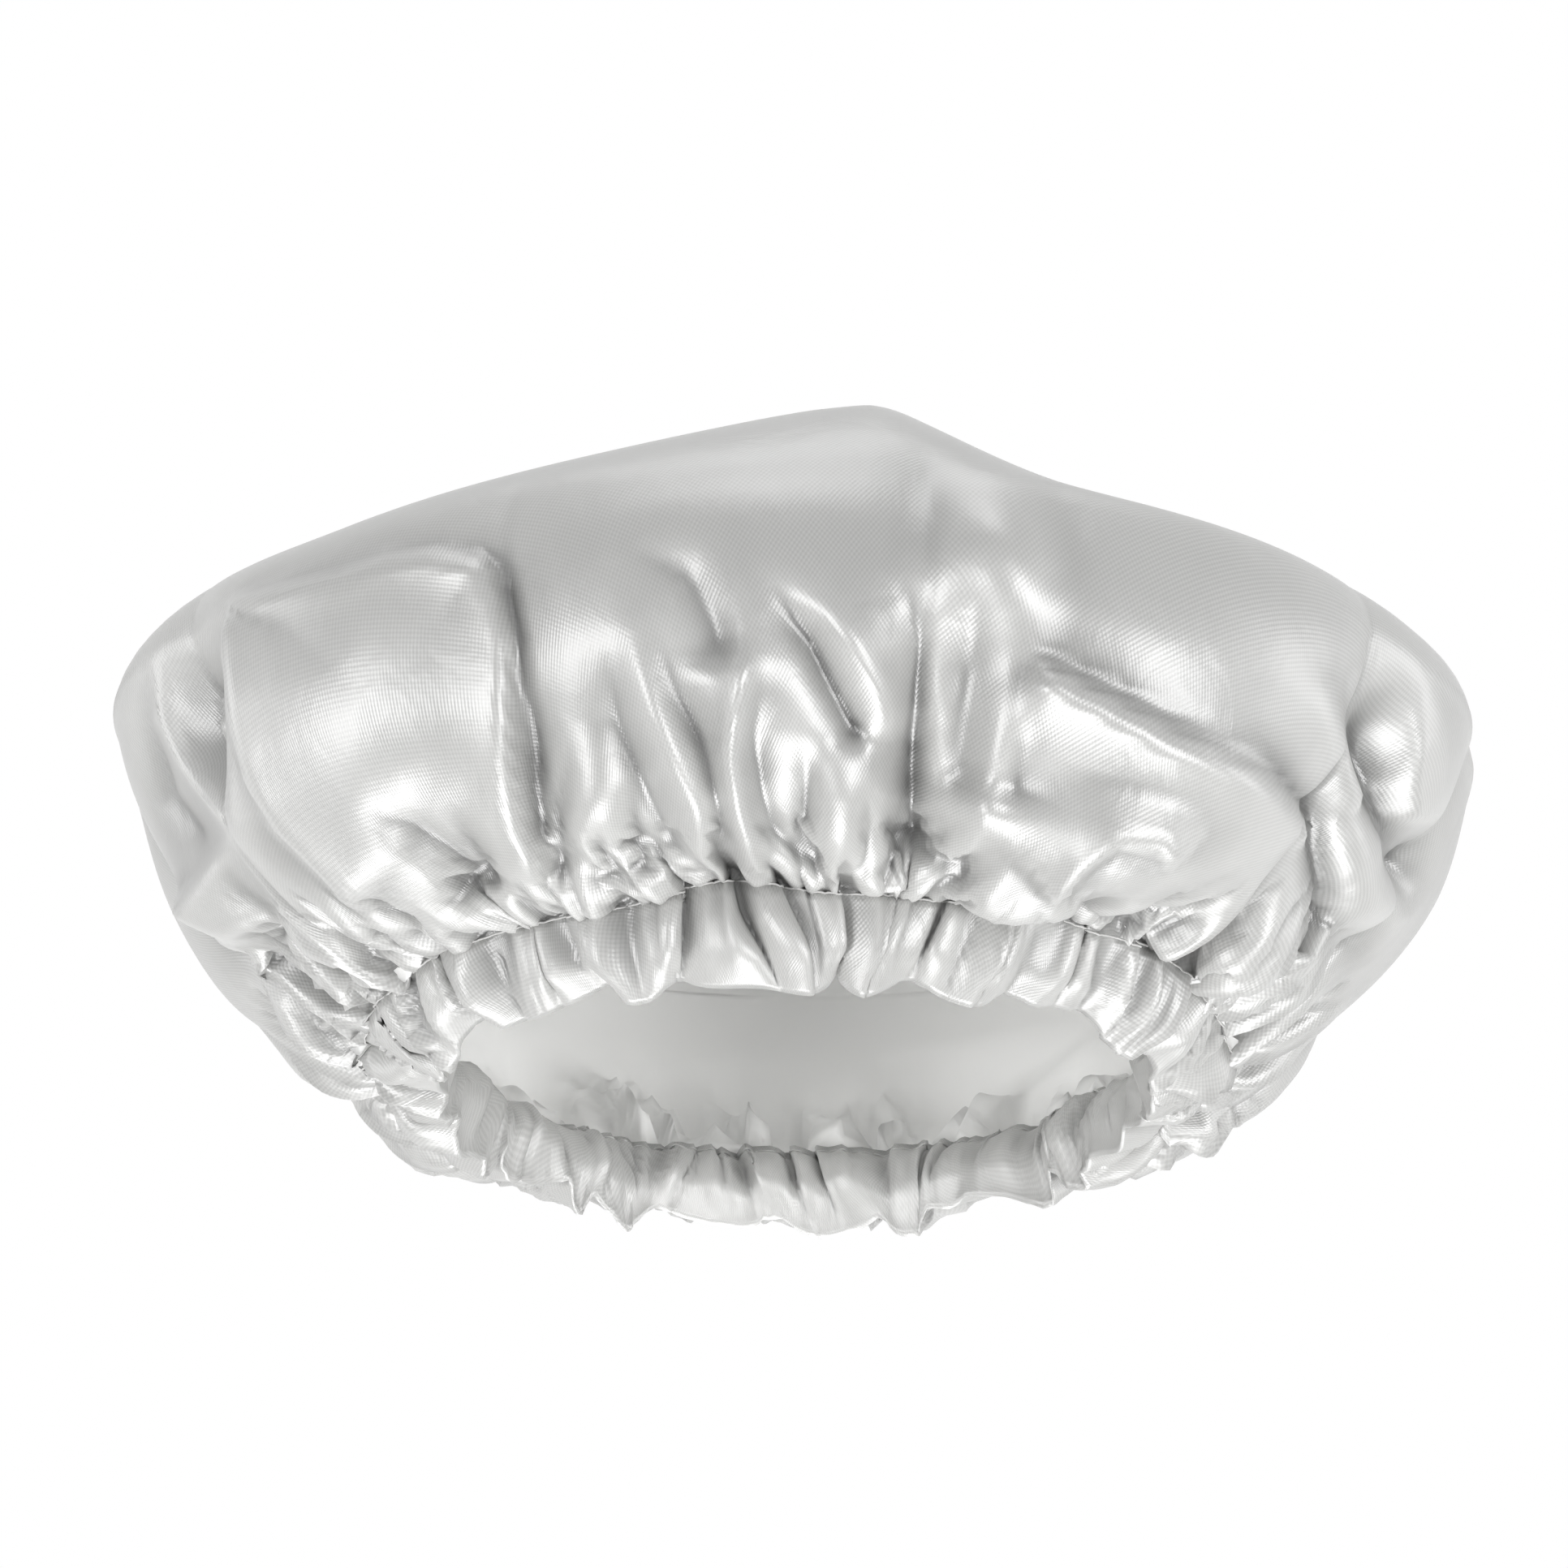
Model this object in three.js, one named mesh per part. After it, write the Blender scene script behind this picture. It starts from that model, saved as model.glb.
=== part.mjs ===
// Satin shower cap with a film lining, standing puffed out as it is worn. A satin disc is gathered
// at its turned hem by an elastic band, and a waterproof film disc inside it is caught in the seam.
// Millimetres. +Z runs up through the crown, -Y is the front, and the origin is the centre of the
// head opening, level with the hem seam.
import * as THREE from "three";
import { mergeVertices } from "three/addons/utils/BufferGeometryUtils.js";

// Shell, measured in the creases between its lobes
const SEAM_RADIUS = 87; // hem seam, at the middle of the satin
const WIDEST_RADIUS = 140;
const WIDEST_HEIGHT = 52; // above the seam
const CROWN_HEIGHT = 115; // above the seam
const CROWN_EXPONENT = 1.8; // of the crown's curve: 2 is an ellipse, and less is more peaked
const PEAK_SHIFT = 14; // the crown's peak stands off the middle, towards +X
const SATIN_WALL = 0.5;

// Crown's gable: on both sides of its peak it falls below a dome, and then its shoulders rise. The
// share of the way from the peak to the side is raised to a power that draws the fall to the peak.
const GABLE_LEFT = 7;
const GABLE_RIGHT = 16;
const GABLE_ROUND = 12; // rounding of the ridge
const GABLE_POWER = 0.8;
const GABLE_FULL = 0.65; // share of the crown's rise above which the fall is full
const SHOULDER_FOOT = 15; // height at which the shoulders' rise begins
const SHOULDER_LEFT = 9;
const SHOULDER_LEFT_START = 0.58; // share of the way to the side at which the left shoulder begins
const SHOULDER_LEFT_SPAN = 0.4; // share of the way over which it rises
const SHOULDER_RIGHT = 5;
const SHOULDER_RIGHT_START = 0.75;
const SHOULDER_RIGHT_SPAN = 0.3;

// Lobes of the gathered shell. Each starts at a crease, given as an angle from the front towards
// +X in degrees, and swells out by its own height before the next crease.
const LOBES = [
  { crease: -90, swell: 6 },
  { crease: -60, swell: 8 },
  { crease: -22.5, swell: 5 },
  { crease: 10, swell: 12 },
  { crease: 52.5, swell: 5 },
  { crease: 82.5, swell: 6 },
  { crease: 112.5, swell: 7 },
  { crease: 142.5, swell: 9 },
  { crease: 172.5, swell: 7 },
  { crease: 202.5, swell: 9 },
  { crease: 240, swell: 6 },
];
const LOBE_POWER = 0.7; // of a lobe's round: 1 is a sine, and less is fuller beside its creases
const LOBE_START = 0.65; // place on the shell where lobes begin: 0 peak, 1 widest, 2 seam
const LOBE_FULL = 1.25; // place where they stand out most
const LOBE_FADE = 1.6; // place where they begin to close in on the seam
const SIDE_TUCK = 9; // the underside is drawn in by this much at the left and right
const TUCK_NARROWING = 4; // power of the cosine by which the tuck fades round the cap
const TUCK_POWER = 0.8; // of the tuck's rise and fall from the widest ring to the seam

// Hem: the satin's edge turned inwards, leaning in under the shell
const HEM_DEPTH = 20.5; // seam to folded edge
const HEM_LEAN_FRONT = 24; // degrees from upright, at the front and back
const HEM_LEAN_SIDE = 48; // degrees from upright, at the left and right
const HEM_FOLD_RISE = 3; // height over which the edge rounds
const TURN_RISE = 3; // raw edge of the turning, above the seam
const PLEATS = 24;
const PLEAT_DEPTH = 3;
const PLEAT_SCALLOP = 1.5; // a pleat hangs this much lower than the valley beside it

// Film lining
const FILM_WALL = 0.3;
const FILM_GAP = 3; // satin to film where the two hang apart
const FILM_TUCK = 3; // edge of the film, below the seam

// Elastic, a flat strip whose ends are lapped and sewn at the back
const ELASTIC_WIDTH = 8;
const ELASTIC_PLY = 0.8;
const ELASTIC_LAP = 14; // length of the lap
const ELASTIC_CENTRE = 9; // middle of the strip, below the seam
const BACK_ANGLE = Math.PI / 2;

// Sewing thread
const THREAD_RADIUS = 0.22;
const STITCH_DROP = 1.2; // stitch line, below the shell's corner at the seam
const TACK_ZIGZAGS = 4;
const TACK_LENGTH = 9; // along the lap
const TACK_HEIGHT = 5.5; // across the strip

// Gap between neighbouring pieces
const CLEARANCE = 0.32;

// Facets
const SEGMENTS = 2 * PLEATS; // a facet up and a facet down for each pleat
const ELASTIC_SEGMENTS = 2 * SEGMENTS;
const DOME_PLACES = [0, 0.3, 0.55, 0.8, 1, 1.3, 1.6, 1.84];
const THREAD_SIDES = 5;
const MERGE_DISTANCE = 1e-4;

// Distances across the hem, from the middle of the outer ply inwards
const SEAM_SPREAD = SATIN_WALL + FILM_WALL + 2 * CLEARANCE; // ply to ply, with the film between
const ELASTIC_SEAT = SATIN_WALL / 2 + 2 * THREAD_RADIUS + 2 * CLEARANCE; // to the lap's outer face
const CHANNEL = ELASTIC_SEAT + 2 * ELASTIC_PLY + CLEARANCE + SATIN_WALL / 2; // ply to ply

const smooth = THREE.MathUtils.smoothstep;

// Direction of the hem at an angle round the opening: it leans most at the sides
function hemLean(angle) {
  const side = Math.cos(angle) ** 2;
  return THREE.MathUtils.degToRad(THREE.MathUtils.lerp(HEM_LEAN_FRONT, HEM_LEAN_SIDE, side));
}

// Point of the hem, as radius and height, at a depth below the seam and a distance outwards
function hemPoint(angle, depth, outwards) {
  const lean = hemLean(angle);
  return new THREE.Vector2(
    SEAM_RADIUS - depth * Math.sin(lean) + outwards * Math.cos(lean),
    -depth * Math.cos(lean) - outwards * Math.sin(lean),
  );
}

// 1 on the crest of a pleat and 0 in the valley beside it
function pleat(angle) {
  return (1 - Math.cos(PLEATS * angle)) / 2;
}

// Shell without its lobes, as radius and height: a peaked crown, then the curve in to the seam
function domePoint(place) {
  if (place <= 1) {
    const turn = (place * Math.PI) / 2;
    const power = 2 / CROWN_EXPONENT;
    return new THREE.Vector2(
      WIDEST_RADIUS * Math.sin(turn) ** power,
      WIDEST_HEIGHT + (CROWN_HEIGHT - WIDEST_HEIGHT) * Math.max(0, Math.cos(turn)) ** power,
    );
  }
  const turn = ((place - 1) * Math.PI) / 2;
  return new THREE.Vector2(
    SEAM_RADIUS + (WIDEST_RADIUS - SEAM_RADIUS) * Math.cos(turn),
    WIDEST_HEIGHT * (1 - Math.sin(turn)),
  );
}

// Outward direction of the shell at a place on it
function domeNormal(place) {
  if (place === 0) return new THREE.Vector2(0, 1);
  const step = 0.01;
  const along = domePoint(place + step).sub(domePoint(place - step)).normalize();
  return new THREE.Vector2(-along.y, along.x);
}

// Height of the lobe at an angle round the opening
function lobeSwell(angle) {
  const fromFront = THREE.MathUtils.radToDeg(angle) + 90;
  const first = LOBES[0].crease;
  const turned = first + THREE.MathUtils.euclideanModulo(fromFront - first, 360);
  const index = LOBES.findLastIndex((lobe) => lobe.crease <= turned);
  const next = index + 1 < LOBES.length ? LOBES[index + 1].crease : first + 360;
  const share = (turned - LOBES[index].crease) / (next - LOBES[index].crease);
  return LOBES[index].swell * Math.sin(Math.PI * share) ** LOBE_POWER;
}

// How far the underside is drawn in at a place and an angle
function sideTuck(place, angle) {
  const underside = Math.sin(Math.PI * THREE.MathUtils.clamp(place - 1, 0, 1));
  return SIDE_TUCK * Math.cos(angle) ** TUCK_NARROWING * underside ** TUCK_POWER;
}

// Point of the gathered shell, with its lobe and its tuck
function shellPoint(place, angle) {
  const rise = smooth(place, LOBE_START, LOBE_FULL) * (1 - smooth(place, LOBE_FADE, 2));
  const out = lobeSwell(angle) * rise - sideTuck(place, angle);
  return domePoint(place).addScaledVector(domeNormal(place), out);
}

// Middle of the satin at an angle, from the peak over the shell and round the hem to its raw edge
function satinLine(angle) {
  const crest = PLEAT_DEPTH * pleat(angle);
  const edge = HEM_DEPTH + PLEAT_SCALLOP * pleat(angle);
  const fold = edge - HEM_FOLD_RISE;
  const upper = ELASTIC_CENTRE - ELASTIC_WIDTH / 2 - CLEARANCE;
  return [
    ...DOME_PLACES.map((place) => shellPoint(place, angle)),
    hemPoint(angle, 0, 0),
    hemPoint(angle, fold, crest),
    hemPoint(angle, edge, -CHANNEL / 2),
    hemPoint(angle, fold, -CHANNEL - crest),
    hemPoint(angle, upper, -CHANNEL),
    hemPoint(angle, -TURN_RISE, -SEAM_SPREAD),
  ];
}

// Middle of the film at an angle, from the peak to its edge between the plies of the hem
function filmLine(angle) {
  const between = -SEAM_SPREAD / 2;
  const filmPoint = (place) => {
    return domePoint(place).addScaledVector(domeNormal(place), -FILM_GAP - sideTuck(place, angle));
  };
  return [
    ...DOME_PLACES.map(filmPoint),
    hemPoint(angle, 0, between),
    hemPoint(angle, FILM_TUCK, between),
  ];
}

// Left-hand unit normals of an open line of points
function lineNormals(line) {
  return line.map((point, index) => {
    const before = line[Math.max(index - 1, 0)];
    const after = line[Math.min(index + 1, line.length - 1)];
    const into = point.clone().sub(before).normalize();
    const out = after.clone().sub(point).normalize();
    const along = into.add(out).normalize();
    return index === 0 ? new THREE.Vector2(0, 1) : new THREE.Vector2(-along.y, along.x);
  });
}

// Closed outline of a sheet whose middle is the line: its inner side down, its outer side back
function sheetOutline(line, wall) {
  const normals = lineNormals(line);
  const outer = line.map((point, i) => point.clone().addScaledVector(normals[i], wall / 2));
  const inner = line.map((point, i) => point.clone().addScaledVector(normals[i], -wall / 2));
  return [...inner, ...outer.reverse()];
}

// Closed ring of points round a centre
function roundOutline(centre, radius) {
  return Array.from({ length: THREAD_SIDES + 1 }, (_, side) => {
    const turn = ((side % THREAD_SIDES) / THREAD_SIDES) * 2 * Math.PI;
    return new THREE.Vector2(radius * Math.cos(turn), radius * Math.sin(turn)).add(centre);
  });
}

// Rise of the gabled crown over a dome, at a distance to the right of its peak
function gableRise(aside, height, high) {
  const right = smooth(aside, -GABLE_ROUND, GABLE_ROUND);
  const span = WIDEST_RADIUS + THREE.MathUtils.lerp(PEAK_SHIFT, -PEAK_SHIFT, right);
  const away = Math.hypot(aside, GABLE_ROUND) - GABLE_ROUND;
  const share = THREE.MathUtils.clamp(away / span, 0, 1);
  const fall = THREE.MathUtils.lerp(GABLE_LEFT, GABLE_RIGHT, right) * smooth(high, 0, GABLE_FULL);
  const start = THREE.MathUtils.lerp(SHOULDER_LEFT_START, SHOULDER_RIGHT_START, right);
  const shoulderSpan = THREE.MathUtils.lerp(SHOULDER_LEFT_SPAN, SHOULDER_RIGHT_SPAN, right);
  const rise = THREE.MathUtils.lerp(SHOULDER_LEFT, SHOULDER_RIGHT, right);
  const shoulder = smooth(share, start, start + shoulderSpan) * smooth(height, SHOULDER_FOOT, WIDEST_HEIGHT);
  return rise * shoulder - fall * Math.sin(Math.PI * share ** GABLE_POWER);
}

// Radius and height at an angle, as a point in space on the gabled crown with its shifted peak
function place3d(angle, point) {
  const rise = (point.y - WIDEST_HEIGHT) / (CROWN_HEIGHT - WIDEST_HEIGHT);
  const high = THREE.MathUtils.clamp(rise, 0, 1);
  const x = point.x * Math.cos(angle) + PEAK_SHIFT * high ** 2;
  return new THREE.Vector3(
    x,
    point.x * Math.sin(angle),
    point.y + gableRise(x - PEAK_SHIFT, point.y, high),
  );
}

// Keeps only positions, joins the shared ones and shades the result
function closed(geometry) {
  geometry.deleteAttribute("normal");
  geometry.deleteAttribute("uv");
  const merged = mergeVertices(geometry, MERGE_DISTANCE);
  merged.computeVertexNormals();
  return merged;
}

// A lathe whose outline changes with the angle
function latheFrame(outlineAt, segments) {
  const points = outlineAt(0).length;
  const geometry = new THREE.LatheGeometry(outlineAt(0), segments);
  const position = geometry.getAttribute("position");
  for (let step = 0; step <= segments; step++) {
    const angle = ((step % segments) / segments) * 2 * Math.PI;
    outlineAt(angle).forEach((point, index) => {
      position.setXYZ(step * points + index, ...place3d(angle, point));
    });
  }
  return geometry;
}

function gatheredRing(outlineAt, segments) {
  return closed(latheFrame(outlineAt, segments));
}

// Splits the outer face's quads along the inner face's diagonals, so that a twisted wall stays even.
// The outline runs down the inner face and back up the outer one, so the outer half is turned round.
function matchDiagonals(geometry, points) {
  const index = geometry.getIndex();
  const quads = points - 1;
  for (let quad = 0; quad < index.count / 6; quad++) {
    if (quad % quads < points / 2) continue;
    const [a, b, d, c] = [0, 1, 2, 3].map((corner) => index.getX(6 * quad + corner));
    [a, b, c, a, c, d].forEach((corner, place) => index.setX(6 * quad + place, corner));
  }
}

// Centre of a thread that lies on the left of the stretch from one point to the next
function threadBeside(from, to, share) {
  const along = to.clone().sub(from).normalize();
  const aside = SATIN_WALL / 2 + CLEARANCE + THREAD_RADIUS;
  return from.clone().lerp(to, share).addScaledVector(new THREE.Vector2(-along.y, along.x), aside);
}

// A gathered sheet of even thickness about the line that it follows at each angle
function gatheredSheet(lineAt, wall) {
  const geometry = latheFrame((angle) => sheetOutline(lineAt(angle), wall), SEGMENTS);
  matchDiagonals(geometry, 2 * lineAt(0).length);
  return closed(geometry);
}

function satinShell() {
  return gatheredSheet(satinLine, SATIN_WALL);
}

function filmLiner() {
  return gatheredSheet(filmLine, FILM_WALL);
}

// The strip lies against the inner ply, and is two plies thick along its lap
function elasticBand() {
  const inner = -CHANNEL + SATIN_WALL / 2 + CLEARANCE;
  const halfLap = ELASTIC_LAP / 2 / SEAM_RADIUS;
  const outlineAt = (angle) => {
    const plies = Math.abs(angle - BACK_ANGLE) <= halfLap ? 2 : 1;
    const outer = inner + plies * ELASTIC_PLY;
    const top = ELASTIC_CENTRE - ELASTIC_WIDTH / 2;
    const bottom = ELASTIC_CENTRE + ELASTIC_WIDTH / 2;
    const corners = [[top, outer], [top, inner], [bottom, inner], [bottom, outer], [top, outer]];
    return corners.map(([depth, outwards]) => hemPoint(angle, depth, outwards));
  };
  return gatheredRing(outlineAt, ELASTIC_SEGMENTS);
}

// Zigzag of thread over the elastic's lap
function elasticLapTack() {
  const outwards = -ELASTIC_SEAT + CLEARANCE + THREAD_RADIUS;
  const corners = Array.from({ length: 2 * TACK_ZIGZAGS + 1 }, (_, corner) => {
    const along = TACK_LENGTH * (corner / (2 * TACK_ZIGZAGS) - 0.5);
    const across = (corner % 2 === 0 ? -0.5 : 0.5) * TACK_HEIGHT;
    const angle = BACK_ANGLE + along / SEAM_RADIUS;
    return place3d(angle, hemPoint(angle, ELASTIC_CENTRE + across, outwards));
  });
  const section = new THREE.Shape(roundOutline(new THREE.Vector2(), THREAD_RADIUS).slice(1));
  const geometry = new THREE.ExtrudeGeometry(section, {
    steps: 6 * TACK_ZIGZAGS,
    extrudePath: new THREE.CatmullRomCurve3(corners),
  });
  return closed(geometry);
}

// Row of stitches on the outer face of the hem, just below the seam
function hemNeedleThread() {
  const outlineAt = (angle) => {
    const line = satinLine(angle);
    const seam = line[DOME_PLACES.length];
    const fold = line[DOME_PLACES.length + 1];
    return roundOutline(threadBeside(seam, fold, STITCH_DROP / seam.distanceTo(fold)), THREAD_RADIUS);
  };
  return gatheredRing(outlineAt, SEGMENTS);
}

// Row of stitches on the inner face of the turning, level with the outer row
function hemBobbinThread() {
  const outlineAt = (angle) => {
    const [upper, rawEdge] = satinLine(angle).slice(-2);
    const share = 1 - (TURN_RISE + STITCH_DROP) / upper.distanceTo(rawEdge);
    return roundOutline(threadBeside(upper, rawEdge, share), THREAD_RADIUS);
  };
  return gatheredRing(outlineAt, SEGMENTS);
}

const satin = new THREE.MeshStandardMaterial({ color: 0xdededc, roughness: 0.45, metalness: 0 });
const film = new THREE.MeshStandardMaterial({
  color: 0xe2e3e2,
  roughness: 0.3,
  metalness: 0,
  transparent: true,
  opacity: 0.6,
});
const knitElastic = new THREE.MeshStandardMaterial({ color: 0xf0efec, roughness: 0.9, metalness: 0 });
const thread = new THREE.MeshStandardMaterial({ color: 0xe8e8e6, roughness: 0.7, metalness: 0 });

const showerCap = new THREE.Group();
showerCap.name = "shower_cap";
const pieces = {
  satin_shell: [satinShell(), satin],
  film_liner: [filmLiner(), film],
  elastic_band: [elasticBand(), knitElastic],
  elastic_lap_tack: [elasticLapTack(), thread],
  hem_needle_thread: [hemNeedleThread(), thread],
  hem_bobbin_thread: [hemBobbinThread(), thread],
};
for (const [name, [geometry, material]] of Object.entries(pieces)) {
  const mesh = new THREE.Mesh(geometry, material);
  mesh.name = name;
  showerCap.add(mesh);
}

export default showerCap;
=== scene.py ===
"""Satin shower cap with a film lining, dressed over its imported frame.

The satin is one flat disc. Its shell is a peaked dome with folds drawn on it, the surplus round its
rim is relaxed as cloth until it lies in gathers, and its edge is turned in over the elastic.
Metres. +Z runs up through the crown, -Y is the front, the origin is the centre of the head opening.
"""

import math
from collections import namedtuple

import bpy
import numpy as np
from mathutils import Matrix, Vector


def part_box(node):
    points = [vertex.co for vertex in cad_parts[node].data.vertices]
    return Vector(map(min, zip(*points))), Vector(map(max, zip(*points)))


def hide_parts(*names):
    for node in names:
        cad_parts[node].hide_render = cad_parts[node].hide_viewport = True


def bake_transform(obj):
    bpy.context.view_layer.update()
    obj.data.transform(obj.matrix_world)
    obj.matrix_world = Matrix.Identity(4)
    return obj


bl_info = {
    "name": "Gathered Shower Cap",
    "version": (1, 0, 0),
    "blender": (4, 5, 0),
    "location": "View3D > Sidebar > Shower Cap",
    "description": "Builds a satin shower cap with its film lining, elastic and sewing",
    "category": "Add Mesh",
}

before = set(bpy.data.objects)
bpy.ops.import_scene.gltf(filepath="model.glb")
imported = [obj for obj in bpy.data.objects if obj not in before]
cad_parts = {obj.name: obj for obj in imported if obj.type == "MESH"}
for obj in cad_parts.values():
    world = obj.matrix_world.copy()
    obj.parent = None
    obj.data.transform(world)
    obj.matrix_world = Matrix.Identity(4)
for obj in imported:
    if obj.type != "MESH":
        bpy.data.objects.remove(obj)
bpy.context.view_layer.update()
_, SATIN_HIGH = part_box("satin_shell")

MM = 0.001
FULL_TURN = 2 * math.pi

# Camera of the photograph, and the frame that its pixel coordinates are given in
PHOTO_SIDE = 1932
CAMERA_ELEVATION = math.radians(-22.5)
CAMERA_DISTANCE = 1.0
CAMERA_AIM = (-2.5 * MM, 0.0, 55.5 * MM)
CAMERA_LENS = 109.0
CAMERA_SENSOR = 36.0
PIXELS_PER_TANGENT = CAMERA_LENS / CAMERA_SENSOR * PHOTO_SIDE
PIXEL = CAMERA_DISTANCE / PIXELS_PER_TANGENT

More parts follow.
